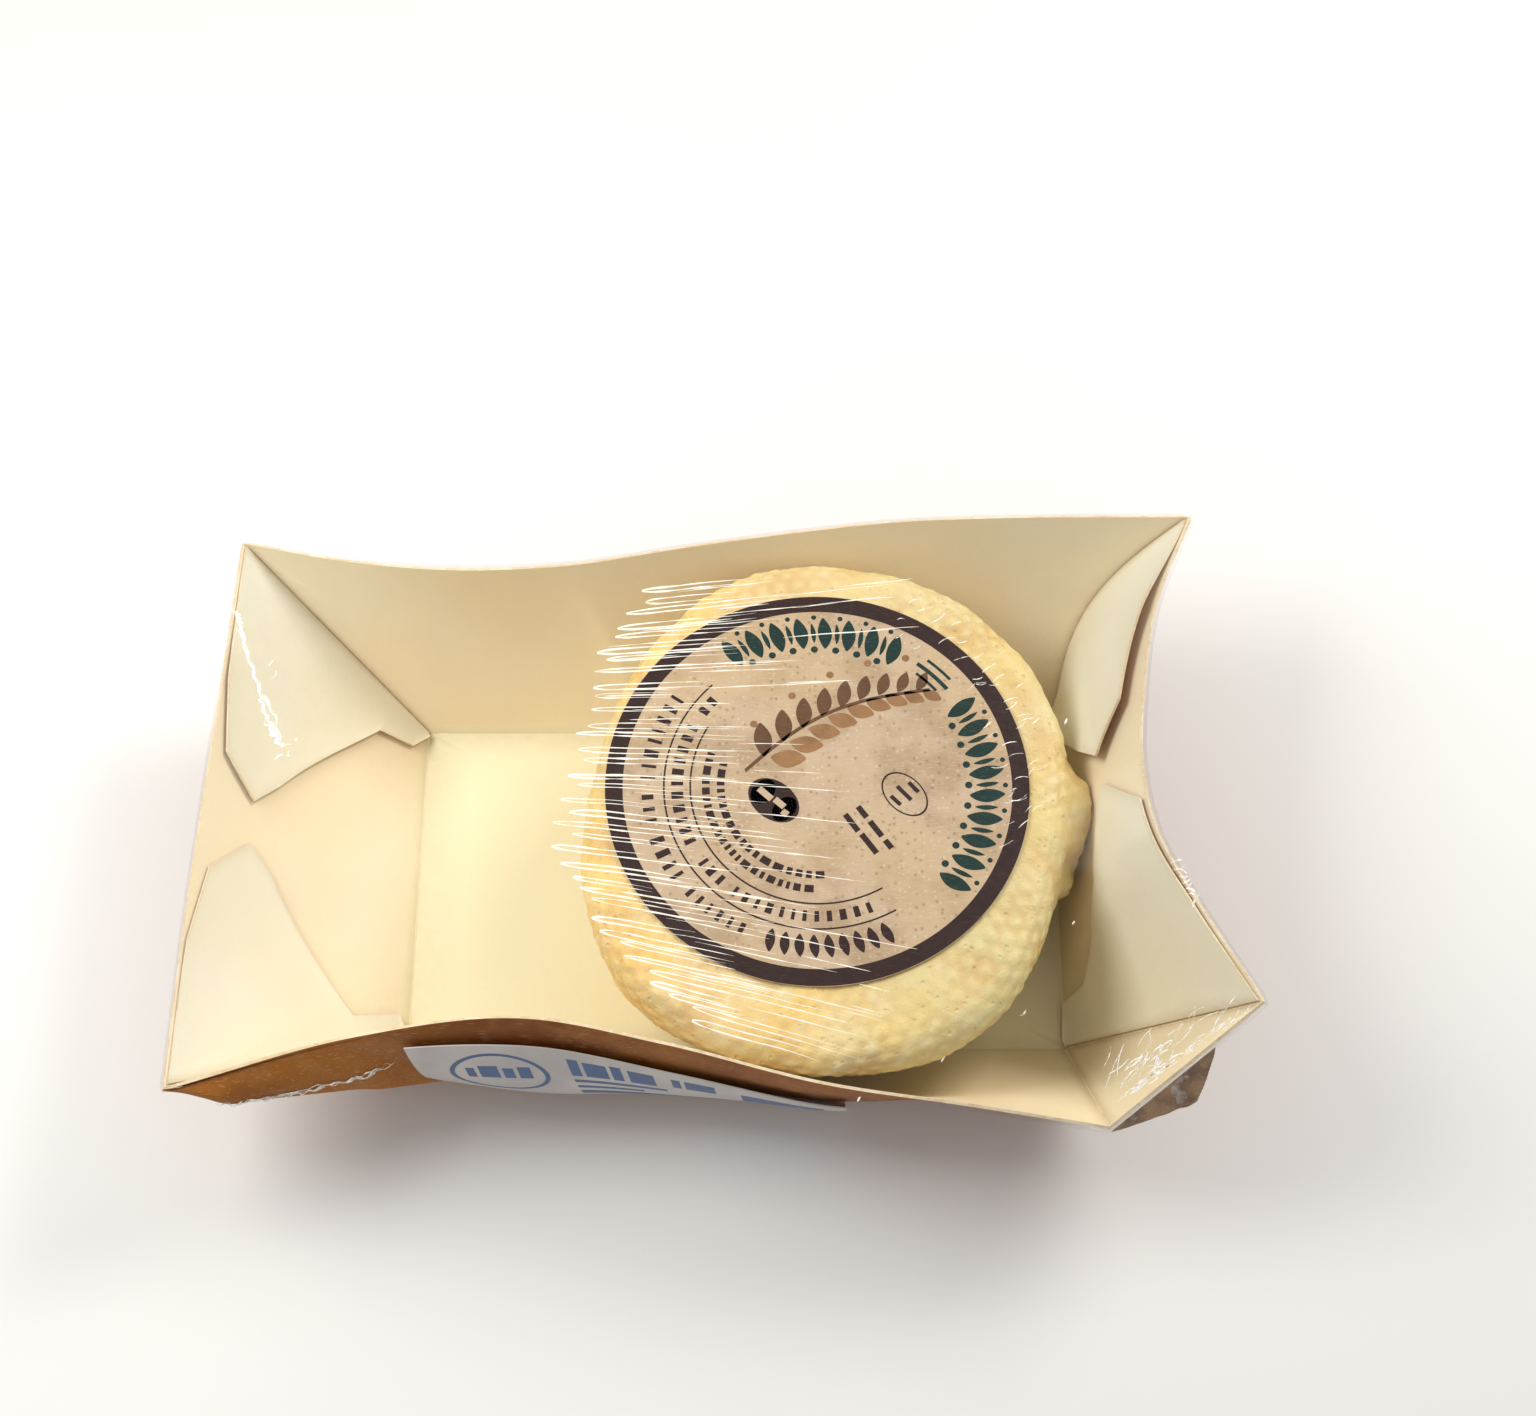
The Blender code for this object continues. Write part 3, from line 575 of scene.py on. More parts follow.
def buildFlap(name, wall, mirrored, lift, freeEdge):
    # ruled sheet between the corner fold and the flap's free edge, both given as shares of the
    # end wall, laid on that wall and lifting towards its free edge by the square of the way
    s = flapShape
    free = straightOnWall(walls[wall], mirrored, freeEdge, s["rows"])
    fold = np.stack([np.full(s["rows"], s["foldAt"]), np.linspace(s["foldFrom"], s["foldTo"], s["rows"])], -1)
    across = np.linspace(0.0, 1.0, s["columns"])[None, :, None]
    spot = mix(fold[:, None], free[:, None], across)
    along = 1.0 - spot[..., 0] if mirrored else spot[..., 0]

    def nearby(further, higher):
        return wallSpots(walls[wall], np.clip(along + further, 0, 1), np.clip(spot[..., 1] + higher, 0, 1))

    onWall = nearby(0.0, 0.0)
    side = nearby(s["step"], 0.0) - nearby(-s["step"], 0.0)
    rise = nearby(0.0, s["step"]) - nearby(0.0, -s["step"])
    inward = -unitVectors(np.cross(side, rise))
    away = s["clear"] + lift * across[..., 0] ** 2 * np.ones(along.shape)
    under = onWall + away[..., None] * inward
    over = under + s["card"] * inward
    fromFold, fromEdge = s["wear"] * across[..., 0], s["wear"] * (1.0 - across[..., 0])
    worn = (np.exp(-fromEdge ** 2) * s["freeWear"] + np.exp(-fromFold ** 2)) * np.ones(along.shape)
    if mirrored:
        under, over, worn = under[:, ::-1], over[:, ::-1], worn[:, ::-1]
    points, front, back, edge = sheetBody(under, over)
    return putMesh(name, points, [(front, 1), (back, 0), (edge, 2)], [flapCard, kraftCard, cardEdge], 35.0,
                   {"fold": np.concatenate([worn.ravel(), worn.ravel()])})


flaps = [buildFlap(name, **place) for name, place in cornerFlaps.items()]


creaseLook = {"halfWidth": 0.28, "halfHeight": 0.07, "above": 0.05, "points": 60, "from": 0.02, "to": 0.985,
              "inside": (0.0, 0.0, 75.0)}


def buildCreases():
    # scored lines of the board: a thin flat run along each corner fold, from the base to the rim,
    # and along the base's four edges, just above the inner surface
    s = creaseLook
    share = np.linspace(s["from"], s["to"], s["points"])
    runs = [wallSpots(wall, np.zeros(s["points"]), share) for wall in walls.values()]
    base = np.array([wall["base"][0] for name, wall in walls.items() if name != "web"])
    runs += [mix(base[k], np.roll(base, -1, axis=0)[k], share[:, None]) for k in range(4)]
    paths = np.array(runs)
    inside = unitVectors(np.array(s["inside"]) - paths)
    paths = paths + s["above"] * inside
    size = np.ones(paths.shape[:2])
    runs = cordBodies(paths, inside, s["halfWidth"] * size, s["halfHeight"] * size)
    return putBodies("scored_creases", [runs], creaseCard)


creaseCard = makeCard("crease_card", {**cardLooks["creamCard"], "colour": (0.78, 0.66, 0.44),
                                      "patch": (0.84, 0.74, 0.52), "smallPatch": (0.62, 0.46, 0.27),
                                      "smallShare": 0.6, "patchSize": 12.0})
creases = buildCreases()
print("tray, flaps and creases made")


cheeseShape = {
    "centre": (17.8, 5.0), "bottom": 0.9, "top": 40.6,
    "halfLength": 49.6, "front": 58.4, "back": 56.0,
    "swells": [(-136.0, 28.0, 5.6), (-52.0, 32.0, 3.4), (24.0, 30.0, 1.9), (158.0, 20.0, -2.2)],
    "topRounding": 7.0, "bottomRounding": 12.0,
    "taperFront": 14.5, "taperBack": 24.5, "taperEnds": 6.0, "taperPower": 1.2,
    "inset": 0.8, "columns": 640,
    # squeezed-out curd at the right: direction, height, reach, half the angle, half the height
    "lobes": [(0.03, 31.5, 5.2, 0.10, 5.5), (-0.12, 28.0, 4.8, 0.08, 6.5), (-0.25, 23.0, 4.2, 0.08, 6.0),
              (0.15, 29.0, 2.2, 0.06, 5.0)],
    # number round the side, turn for each millimetre of height, height
    "waves": [(3.0, 0.16, 0.5), (7.0, -0.3, 0.3)],
    "cellsRound": 78, "cellRise": 3.1, "weave": 0.42, "softRelief": 0.35, "fineRelief": 0.07,
}


def cheeseReach(angle):
    # half ellipses, deeper at the front than at the back, plus bell-shaped swells by direction
    s = cheeseShape
    depth = np.where(np.sin(angle) > 0.0, s["back"], s["front"])
    reach = 1.0 / np.hypot(np.cos(angle) / s["halfLength"], np.sin(angle) / depth)
    for direction, halfWidth, height in s["swells"]:
        away = np.angle(np.exp(1j * (angle - math.radians(direction))))
        reach = reach + height * np.exp(-(away / math.radians(halfWidth)) ** 2)
    return reach


def cheeseTaper(angle):
    # how far the side has drawn in at the foot: a mix by the squares of the direction's sine
    s = cheeseShape
    back = np.clip(np.sin(angle), 0.0, 1.0) ** 2
    front = np.clip(-np.sin(angle), 0.0, 1.0) ** 2
    return (s["taperEnds"] + (s["taperBack"] - s["taperEnds"]) * back
            + (s["taperFront"] - s["taperEnds"]) * front)


def buildCheese():
    # outline of (inset, height) turned about the centre line with a radius that changes with
    # direction, then moved along its normals by the weave of the mould and soft unevenness
    s = cheeseShape
    turn = np.linspace(0.0, 0.5 * math.pi, 15)
    foot = [(s["bottomRounding"] * (1.0 - math.sin(t)),
             s["bottom"] + s["bottomRounding"] * (1.0 - math.cos(t))) for t in turn]
    sideHeights = np.linspace(s["bottom"] + s["bottomRounding"], s["top"] - s["topRounding"], 46)[1:-1]
    side = [(0.0, z) for z in sideHeights]
    turn = np.linspace(0.0, 0.5 * math.pi, 25)
    shoulder = [(s["topRounding"] * (1.0 - math.cos(t)), s["top"] - s["topRounding"] * (1.0 - math.sin(t)))
                for t in turn]
    inset, z = np.array(foot + side + shoulder).T
    angle = np.linspace(0.0, fullTurn, s["columns"], endpoint=False)
    depth = (s["top"] - z[:, None]) / (s["top"] - s["bottom"])
    drawnIn = cheeseTaper(angle)[None] * depth ** s["taperPower"]
    radius = cheeseReach(angle)[None] - drawnIn - inset[:, None] - s["inset"]
    for direction, height, reach, halfAngle, halfHeight in s["lobes"]:
        away = np.angle(np.exp(1j * (angle - direction)))[None] / halfAngle
        radius = radius + reach * np.exp(-np.abs(away) ** 3 - np.abs((z[:, None] - height) / halfHeight) ** 3)
    for number, rise, height in s["waves"]:
        radius = radius + height * np.sin(number * angle + rise * z[:, None])
    # the top's rings draw in from the shoulder's edge towards the middle
    rings = np.concatenate([np.linspace(0.985, 0.80, 16), [0.72, 0.6, 0.45, 0.3, 0.15]])
    radius = np.concatenate([radius, rings[:, None] * radius[-1:]])
    z = np.concatenate([z, np.full(len(rings), s["top"])])
    heights = np.repeat(z[:, None], len(angle), axis=1)
    grid = np.stack([s["centre"][0] + radius * np.cos(angle), s["centre"][1] + radius * np.sin(angle),
                     heights], -1)
    normals = gridNormals(grid, closed=True)
    along = lengthsAlong(grid[:, 0])[:, None]
    row = along / s["cellRise"]
    brick = 0.5 * np.floor(row)
    cell = 0.5 + 0.5 * np.cos(s["cellsRound"] * angle[None] + fullTurn * brick)
    weave = cell * np.abs(np.sin(math.pi * row))
    strength = 0.6 + 0.5 * softNoise(angle[None], along, 3, 30, 9, 0.16, closed=True)
    soft = softNoise(angle[None], along, 4, 40, 26, 0.55, closed=True)
    fine = softNoise(angle[None], along, 5, 60, 130, 2.6, closed=True)
    relief = s["weave"] * strength * (weave - 0.4) + s["softRelief"] * soft + s["fineRelief"] * fine
    calm = smoothStep((heights - s["bottom"]) / 3.0) * smoothStep((radius - 40.0) / 4.0)
    grid = grid + (relief * calm)[..., None] * normals
    # painted shade: the hollow value marks the recesses of the weave, which the curd darkens
    hollow = np.concatenate([(0.5 - relief * calm / 0.9).ravel(), [0.5, 0.5]])
    points, *faces = ringsBody(grid, (*s["centre"], s["bottom"]), (*s["centre"], s["top"]))
    return putMesh("cheese_body", points, [(part, 0) for part in faces], [curd], None,
                   {"hollow": np.clip(hollow, 0.0, 1.0)})


curdLook = {
    "cream": (0.82, 0.66, 0.33), "golden": (0.86, 0.62, 0.22), "pale": (0.84, 0.76, 0.50),
    "hollow": (0.70, 0.44, 0.17), "peach": (0.80, 0.47, 0.17), "green": (0.70, 0.66, 0.36),
    # where the painted shade of the front, right and left sides begins and where it is full, in millimetres
    "front": (-12.0, -50.0), "right": (18.0, 50.0), "left": (12.0, -25.0),
}


def makeCurd():
    # moist rind: cream and golden patches, paler spots, painted shade as deeper yellow in the hollows, and
    # painted shade on the front of the cheese as peach towards the front left and greener cream towards the
    # front right
    material, tree, shader = newMaterial("curd")
    look = curdLook
    place = objectPlace(tree)
    x, y, _ = addNode(tree, "ShaderNodeSeparateXYZ", {0: place}).outputs
    gold = softMask(tree, 16.0, 3.0, 0.40, 0.66)
    pale = softMask(tree, 5.0, 4.0, 0.52, 0.72, 0.2)
    warm = softMask(tree, 11.0, 4.0, 0.42, 0.62, 0.5)
    hollow = addNode(tree, "ShaderNodeAttribute", attribute_name="hollow").outputs["Fac"]
    deep = within(tree, hollow, 0.42, 0.95)
    front, right, left = [within(tree, value, mm * look[side][0], mm * look[side][1])
                          for value, side in ((y, "front"), (x, "right"), (x, "left"))]
    colour = blend(tree, gold, look["cream"], look["golden"])
    # painted shade: olive cream at the front right, peach at the front left
    green = times(tree, right, ranged(tree, front, 0.35, 0.85))
    colour = blend(tree, green, colour, look["green"])
    peach = times(tree, times(tree, front, left), ranged(tree, warm, 0.15, 0.75))
    colour = blend(tree, peach, colour, look["peach"])
    colour = tint(tree, colour, pale, 0.5, look["pale"])
    # painted shade: deeper, darker yellow in the recesses
    colour = tint(tree, colour, deep, 0.6, look["hollow"])
    tree.links.new(colour, shader.inputs["Base Color"])
    fine = addNode(tree, "ShaderNodeTexNoise",
                   {"Vector": place, "Scale": 900.0, "Detail": 5.0, "Roughness": 0.65})
    pits = specks(tree, 1.7, 0.34, 0.45)
    height = calculate(tree, "SUBTRACT", fine.outputs[0], times(tree, pits, 0.8))
    addBump(tree, shader, height, 0.28 * mm)
    tree.links.new(ranged(tree, pale, 0.36, 0.56), shader.inputs["Roughness"])
    shader.inputs["Subsurface Weight"].default_value = 0.22
    shader.inputs["Subsurface Radius"].default_value = (1.0, 0.6, 0.25)
    shader.inputs["Subsurface Scale"].default_value = 0.0035
    return material


curd = makeCurd()
cheese = buildCheese()
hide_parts("cheese")


labelShape = {"centre": (16.1, 6.0), "radius": 42.5, "bottom": 40.9, "top": 41.2, "inkRise": 0.03,
              "inkSink": 0.08}


def makeLabelPaper():
    # kraft paper: warm and grey-brown blotches, fine fibres, dark and pale flecks
    material, tree, shader = newMaterial("label_paper")
    blotch = softMask(tree, 9.0, 5.0, 0.38, 0.64)
    cloud = softMask(tree, 30.0, 2.0, 0.42, 0.60, 0.7)
    fibre = useGroup(tree, fibreGrain, Length=1.6, Width=0.16, Flecks=0.60)
    dark = specks(tree, 1.3, 0.42, 0.42)
    light = specks(tree, 1.0, 0.42, 0.30)
    colour = blend(tree, blotch, (0.58, 0.44, 0.30), (0.46, 0.33, 0.21))
    colour = tint(tree, colour, cloud, 0.4, (0.62, 0.45, 0.24))
    colour = tint(tree, colour, fibre["Fleck"], 0.45, (0.74, 0.60, 0.44))
    colour = tint(tree, colour, dark, 0.6, (0.22, 0.13, 0.07))
    colour = tint(tree, colour, light, 0.5, (0.80, 0.70, 0.56))
    tree.links.new(colour, shader.inputs["Base Color"])
    tree.links.new(ranged(tree, blotch, 0.55, 0.8), shader.inputs["Roughness"])
    addBump(tree, shader, fibre["Height"], 0.05 * mm)
    return material


def makeInk(name, colour, worn):
    # printed ink with paper fibres showing through and a slightly uneven tone
    material, tree, shader = newMaterial(name)
    tone = softMask(tree, 4.0, 4.0, 0.35, 0.7)
    fibre = useGroup(tree, fibreGrain, Length=1.2, Width=0.14, Flecks=0.62)
    shade = blend(tree, tone, colour, tuple(0.72 * part for part in colour))
    shown = times(tree, fibre["Fleck"], worn)
    tree.links.new(blend(tree, shown, shade, (0.50, 0.36, 0.24)), shader.inputs["Base Color"])
    tree.links.new(ranged(tree, tone, 0.40, 0.62), shader.inputs["Roughness"])
    addBump(tree, shader, fibre["Height"], 0.03 * mm)
    shader.inputs["Specular IOR Level"].default_value = 0.3
    return material


labelPaper = makeLabelPaper()
inks = {
    "ring": makeInk("ring_ink", (0.036, 0.015, 0.014), 0.08),
    "green": makeInk("green_ink", (0.006, 0.036, 0.031), 0.12),
    "brown": makeInk("brown_ink", (0.15, 0.075, 0.035), 0.20),
    "tan": makeInk("tan_ink", (0.36, 0.19, 0.085), 0.25),
}


def buildLabel():
    # flat disc: rings of points from the under side's middle round the edge to the top's middle
    s = labelShape
    shares = np.array([0.3, 0.6, 0.85, 1.0, 1.0, 0.85, 0.6, 0.3])
    heights = np.array([s["bottom"]] * 4 + [s["top"]] * 4)
    angle = np.linspace(0.0, fullTurn, 256, endpoint=False)
    radius = s["radius"] * shares[:, None]
    grid = np.stack([s["centre"][0] + radius * np.cos(angle), s["centre"][1] + radius * np.sin(angle),
                     np.repeat(heights[:, None], len(angle), axis=1)], -1)
    body = ringsBody(grid, (*s["centre"], s["bottom"]), (*s["centre"], s["top"]))
    return putBodies("round_label", [body], labelPaper, 40.0)


def arcFields(radius, height, start, end, lengths, gap, steps=10):
    # fields of colour in a row round the label's middle: each is a stretch of a ring, as long as
    # its share of what the gaps leave; angles in degrees, radius and height in label radii
    lengths = np.array(lengths, float)
    turn = math.radians(end - start)
    gapTurn = math.copysign(gap / radius, turn)
    widths = (turn - gapTurn * (len(lengths) - 1)) * lengths / lengths.sum()
    begins = math.radians(start) + np.concatenate([[0.0], np.cumsum(widths + gapTurn)[:-1]])
    angle = begins[:, None] + widths[:, None] * np.linspace(0.0, 1.0, steps)
    radii = radius + height * np.array([0.5, -0.5]) * math.copysign(1.0, turn)
    u = radii[None, :, None] * np.cos(angle)[:, None]
    v = radii[None, :, None] * np.sin(angle)[:, None]
    return np.stack([u, v], -1)


def placed(a, b, u, v, degrees):
    # the points (a, b) turned by an angle and moved to (u, v)
    turned = np.radians(degrees)
    return np.stack([u + a * np.cos(turned) - b * np.sin(turned),
                     v + a * np.sin(turned) + b * np.cos(turned)], -1)


def roundFields(places, steps=9):
    # discs and ovals: a square grid squeezed into a circle, x by sqrt(1 - y^2 / 2) and y by
    # sqrt(1 - x^2 / 2), then stretched, turned and placed; (u, v, half length, half width, degrees)
    u, v, half, across, turned = np.array(places, float).T[..., None, None]
    x, y = np.meshgrid(np.linspace(-1, 1, steps), np.linspace(-1, 1, steps))
    a = half * x * np.sqrt(1.0 - 0.5 * y ** 2)
    b = across * y * np.sqrt(1.0 - 0.5 * x ** 2)
    return placed(a, b, u, v, turned)


def leafFields(places, steps=11):
    # leaves from stalk to tip: width by the sine of the way along to the power 0.8, with a bend
    # that grows by the square of the way; (u, v, length, half width, degrees)
    u, v, length, across, turned = np.array(places, float).T[..., None, None]
    way, side = np.meshgrid(np.linspace(0.02, 0.98, steps), np.linspace(-1, 1, 5))
    a = length * way
    b = across * side * np.sin(math.pi * way) ** 0.8 + 0.12 * length * way ** 2
    return placed(a, b, u, v, turned)


def onArc(radius, degrees, length, halfWidth, turned):
    # places for leaves or discs along an arc round the label's middle
    u, v = radius * np.cos(np.radians(degrees)), radius * np.sin(np.radians(degrees))
    return np.stack([u, v, length + 0 * u, halfWidth + 0 * u, turned + 0 * u], -1)


def strokeFields(ends, halfWidth, bend=0.0, steps=12):
    # lines from one end to the other, bent sideways by a sine; ends are (u, v, u, v)
    ends = np.array(ends, float)
    way = np.linspace(0.0, 1.0, steps)[:, None]
    path = mix(ends[:, None, :2], ends[:, None, 2:], way)
    along = unitVectors(ends[:, 2:] - ends[:, :2])[:, None]
    across = np.stack([-along[..., 1], along[..., 0]], -1)
    path = path + bend * np.sin(math.pi * way) * across
    return np.stack([path - halfWidth * across, path + halfWidth * across], 1)


def printFields(name, patches, ink, above=0.0):
    # thin bodies of ink on the label: each patch is a small grid in label radii; a patch that
    # runs the wrong way round is turned over first
    s = labelShape
    bodies = []
    for patch in patches:
        first = np.cross(patch[:, 0, 1] - patch[:, 0, 0], patch[:, 1, 0] - patch[:, 0, 0])
        patch = np.where((first < 0.0)[:, None, None, None], patch[:, :, ::-1], patch)
        flat = np.array(s["centre"]) + s["radius"] * patch
        high = np.full(flat.shape[:-1] + (1,), s["top"] + above)
        bodies.append(sheetBody(np.concatenate([flat, high + s["inkRise"]], -1),
                                np.concatenate([flat, high - s["inkSink"]], -1)))
    return putBodies(name, bodies, ink, 40.0)


def printLabel():
    # fields of colour in the places of the label's print, and a plain sprig of leaves as ornament
    rng = np.random.default_rng(11)
    ring = arcFields(0.957, 0.082, 0.0, 360.0, [1.0], 0.0, 360)
    badge = roundFields([(-0.205, -0.08, 0.135, 0.095, -40.0), (-0.255, -0.035, 0.05, 0.07, -40.0),
                         (-0.155, -0.125, 0.05, 0.07, -40.0)])
    badgeMarks = strokeFields([(-0.275, -0.02, -0.215, -0.075), (-0.20, -0.075, -0.155, -0.115),
                               (-0.165, -0.135, -0.14, -0.155)], 0.016, 0.0, 3)
    # ornamental bands in green: leaves that point outwards, with bars and dots between them
    title = []
    for first, last, count in ((120.0, 62.0, 8), (30.0, -38.0, 9)):
        turned = np.linspace(first, last, count)
        between = 0.5 * (turned[1:] + turned[:-1])
        rows = ((turned, 0.715, 0.17, 0.034), (between, 0.745, 0.11, 0.012))
        for angle, inner, length, half in rows:
            title.append(leafFields(onArc(inner, angle, length, half, angle)))
        for radius, size in ((0.712, 0.017), (0.885, 0.012)):
            title.append(roundFields(onArc(radius, between, size, size, 0.0)))
    title += [arcFields(0.800, 0.020, 53.0, 39.0, [1.0], 0.0),
              arcFields(0.845, 0.014, 51.0, 41.0, [1.0], 0.0),
              arcFields(0.755, 0.014, 51.0, 41.0, [1.0], 0.0)]
    words = [arcFields(0.800, 0.070, 146.0, 178.0, rng.uniform(0.4, 1.2, 8), 0.040),
             arcFields(0.800, 0.055, 184.0, 194.0, rng.uniform(0.4, 1.2, 3), 0.040),
             arcFields(0.800, 0.070, 200.0, 216.0, rng.uniform(0.4, 1.2, 4), 0.040),
             arcFields(0.800, 0.055, 222.0, 245.0, rng.uniform(0.4, 1.2, 6), 0.040)]
    turned = np.linspace(254.0, 293.0, 9)
    words.append(leafFields(onArc(0.748, turned, 0.115, 0.023, turned)))
    lines = [arcFields(0.722, 0.008, 134.0, 300.0, [1.0], 0.0, 120),
             arcFields(0.598, 0.008, 150.0, 300.0, [1.0], 0.0, 120)]
    band = [arcFields(0.660, 0.052, 138.0, 146.0, [1.0, 1.0], 0.032),
            arcFields(0.660, 0.056, 153.0, 207.0, rng.uniform(0.5, 1.2, 11), 0.032),
            arcFields(0.660, 0.052, 216.0, 228.0, rng.uniform(0.5, 1.1, 3), 0.032),
            arcFields(0.660, 0.052, 234.0, 292.0, rng.uniform(0.5, 1.1, 12), 0.036)]
    small = [arcFields(0.525, 0.036, 162.0, 268.0, rng.uniform(0.4, 1.3, 22), 0.018, 5),
             arcFields(0.455, 0.036, 166.0, 274.0, rng.uniform(0.4, 1.3, 18), 0.018, 5)]
    notice = [strokeFields([(0.13, -0.15, 0.19, -0.235), (0.205, -0.25, 0.275, -0.345),
                            (0.19, -0.11, 0.23, -0.165), (0.245, -0.185, 0.30, -0.26),
                            (0.315, -0.28, 0.345, -0.32)], 0.014, 0.0, 3)]
    turn, edges = np.linspace(0.0, fullTurn, 60), np.array([[1.0], [0.93]])
    oval = placed(edges * 0.130 * np.cos(turn), edges * 0.088 * np.sin(turn), 0.41, -0.045, -48.0)[None]
    inOval = strokeFields([(0.375, -0.005, 0.44, -0.075), (0.43, 0.015, 0.475, -0.035),
                           (0.345, -0.055, 0.39, -0.10)], 0.010, 0.0, 3)
    # ornament: a bent stem with leaves to both sides in two browns, and small round buds
    way = np.linspace(0.06, 0.97, 9)
    stemU, stemV = mix(-0.30, 0.50, way), mix(0.10, 0.50, way) + 0.10 * np.sin(math.pi * way)
    up, down = way * -38.0 + 92.0, way * -30.0 - 8.0
    size = 0.16 * (1.15 - 0.5 * way)
    leafUp = np.stack([stemU, stemV, size, 0.24 * size, up], -1)
    leafDown = np.stack([stemU + 0.03, stemV, size * 0.95, 0.26 * size, down], -1)
    buds = np.stack([stemU[::2] - 0.05, stemV[::2] + 0.17, 0.018 + 0 * stemU[::2], 0.018 + 0 * stemU[::2],
                     0 * stemU[::2]], -1)
    stem = strokeFields([(-0.34, 0.07, 0.54, 0.50)], 0.009, 0.10, 40)
    return [printFields("label_ring_print", [ring], inks["ring"]),
            printFields("label_dark_print", [badge, *words, *lines, *band, *small, *notice, oval, inOval],
                        inks["ring"]),
            printFields("label_green_print", title, inks["green"]),
            printFields("label_leaf_print", [leafFields(leafUp), stem], inks["brown"]),
            printFields("label_tan_print", [leafFields(leafDown), roundFields(buds)], inks["tan"]),
            printFields("label_badge_marks", [badgeMarks], labelPaper, 0.03)]


label = buildLabel()
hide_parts("cheese_label")
labelPrint = printLabel()
print("cheese and label made")


filmShape = {"rimGap": 0.9, "skirtGap": 0.9, "clearance": 1.0, "foot": 0.04, "rows": 300, "columns": 150,
             "cornerReach": 22.0, "cornerRidge": 0.10, "skirtPucker": 0.42}


def makeFilm(name, look):
    # clear film: mirror-like where the Fresnel value says so, otherwise see-through, and no shadow; a white
    # share in soft patches gives a faint haze, and where it is large, as in the streak and gather films, it
    # is a painted highlight, white whatever the light
    material, tree, shader = newMaterial(name)
    gloss = addNode(tree, "ShaderNodeFresnel", {"IOR": 1.5}).outputs[0]
    patches = softMask(tree, look["patchSize"], 4.0, look["from"], look["to"])
    hazeAndHighlight = times(tree, patches, look["hazeAndHighlight"])
    seen = calculate(tree, "ADD", times(tree, gloss, look["gloss"]), hazeAndHighlight, clamped=True)
    shadow = addNode(tree, "ShaderNodeLightPath").outputs["Is Shadow Ray"]
    lit = calculate(tree, "SUBTRACT", 1.0, shadow)
    tree.links.new(times(tree, seen, lit), shader.inputs["Alpha"])
    tree.links.new(blend(tree, patches, look["colour"], look["patch"]), shader.inputs["Base Color"])
    tree.links.new(ranged(tree, patches, *look["roughness"]), shader.inputs["Roughness"])
    fine = softMask(tree, look["rippleSize"], 3.0, 0.3, 0.7, 0.9)
    addBump(tree, shader, fine, look["ripple"] * mm)
    shader.inputs["Metallic"].default_value = look["metal"]
    return material


filmLooks = {
    "clear": {"colour": (1.0, 1.0, 1.0), "patch": (1.0, 0.99, 0.96), "patchSize": 22.0,
              "from": 0.45, "to": 0.8, "hazeAndHighlight": 0.006, "gloss": 0.16, "roughness": (0.12, 0.25),
              "rippleSize": 7.0, "ripple": 0.03, "metal": 1.0},
    "streak": {"colour": (1.0, 0.97, 0.84), "patch": (1.0, 0.98, 0.90), "patchSize": 4.0,
               "from": 0.22, "to": 0.50, "hazeAndHighlight": 1.0, "gloss": 2.0, "roughness": (0.10, 0.25),
               "rippleSize": 1.5, "ripple": 0.02, "metal": 0.0},
    "gather": {"colour": (0.98, 0.97, 0.93), "patch": (1.0, 1.0, 0.98), "patchSize": 1.6,
               "from": 0.40, "to": 0.62, "hazeAndHighlight": 0.75, "gloss": 1.6, "roughness": (0.08, 0.30),
               "rippleSize": 0.9, "ripple": 0.08, "metal": 0.0},
}
# the streak and gather films are painted highlights: white and nearly opaque whatever the light
clearFilm = makeFilm("clear_film", filmLooks["clear"])
streakHighlightFilm = makeFilm("streak_highlight_film", filmLooks["streak"])
gatherHighlightFilm = makeFilm("gathered_film_highlights", filmLooks["gather"])


def filmHeight(x, y, rim):
    # over the cheese the film is flat; from the shoulder it runs straight to the rim in each
    # direction seen from the cheese's middle, leaving the rounded shoulder where it is steepest
    s, f = cheeseShape, filmShape
    dx, dy = x - s["centre"][0], y - s["centre"][1]
    rimAngle = np.arctan2(rim[:, 1] - s["centre"][1], rim[:, 0] - s["centre"][0])
    order = np.argsort(rimAngle)
    rimAngle = rimAngle[order]
    rimFar = np.hypot(rim[:, 0] - s["centre"][0], rim[:, 1] - s["centre"][1])[order]
    rimHigh = rim[order, 2]
    reach = cheeseReach(rimAngle) - s["topRounding"]
    furthest = np.minimum(s["topRounding"], 0.6 * (rimFar - reach))
    over = np.linspace(0.12, 0.95, 24)[:, None] * furthest
    high = s["top"] - s["topRounding"] + np.sqrt((s["topRounding"] + f["clearance"]) ** 2 - over ** 2)
    steepest = np.argmax((high - rimHigh) / (rimFar - reach - over), axis=0)
    pick = np.arange(len(rimAngle))
    angle, far = np.arctan2(dy, dx), np.hypot(dx, dy)

    def look(values):
        return np.interp(angle, rimAngle, values, period=fullTurn)

    edge, touchFar = look(reach), look(reach + over[steepest, pick])
    touchHigh, endFar, endHigh = look(high[steepest, pick]), look(rimFar), look(rimHigh)
    crown = s["top"] + f["clearance"]
    onShoulder = s["top"] - s["topRounding"] + np.sqrt(
        np.maximum((s["topRounding"] + f["clearance"]) ** 2
                   - np.clip(far - edge, 0.0, s["topRounding"]) ** 2, 1.0))
    straight = mix(touchHigh, endHigh,
                   np.clip((far - touchFar) / np.maximum(endFar - touchFar, 0.1), 0.0, 1.0))
    return np.where(far < edge, crown, np.where(far < touchFar, onShoulder, straight))


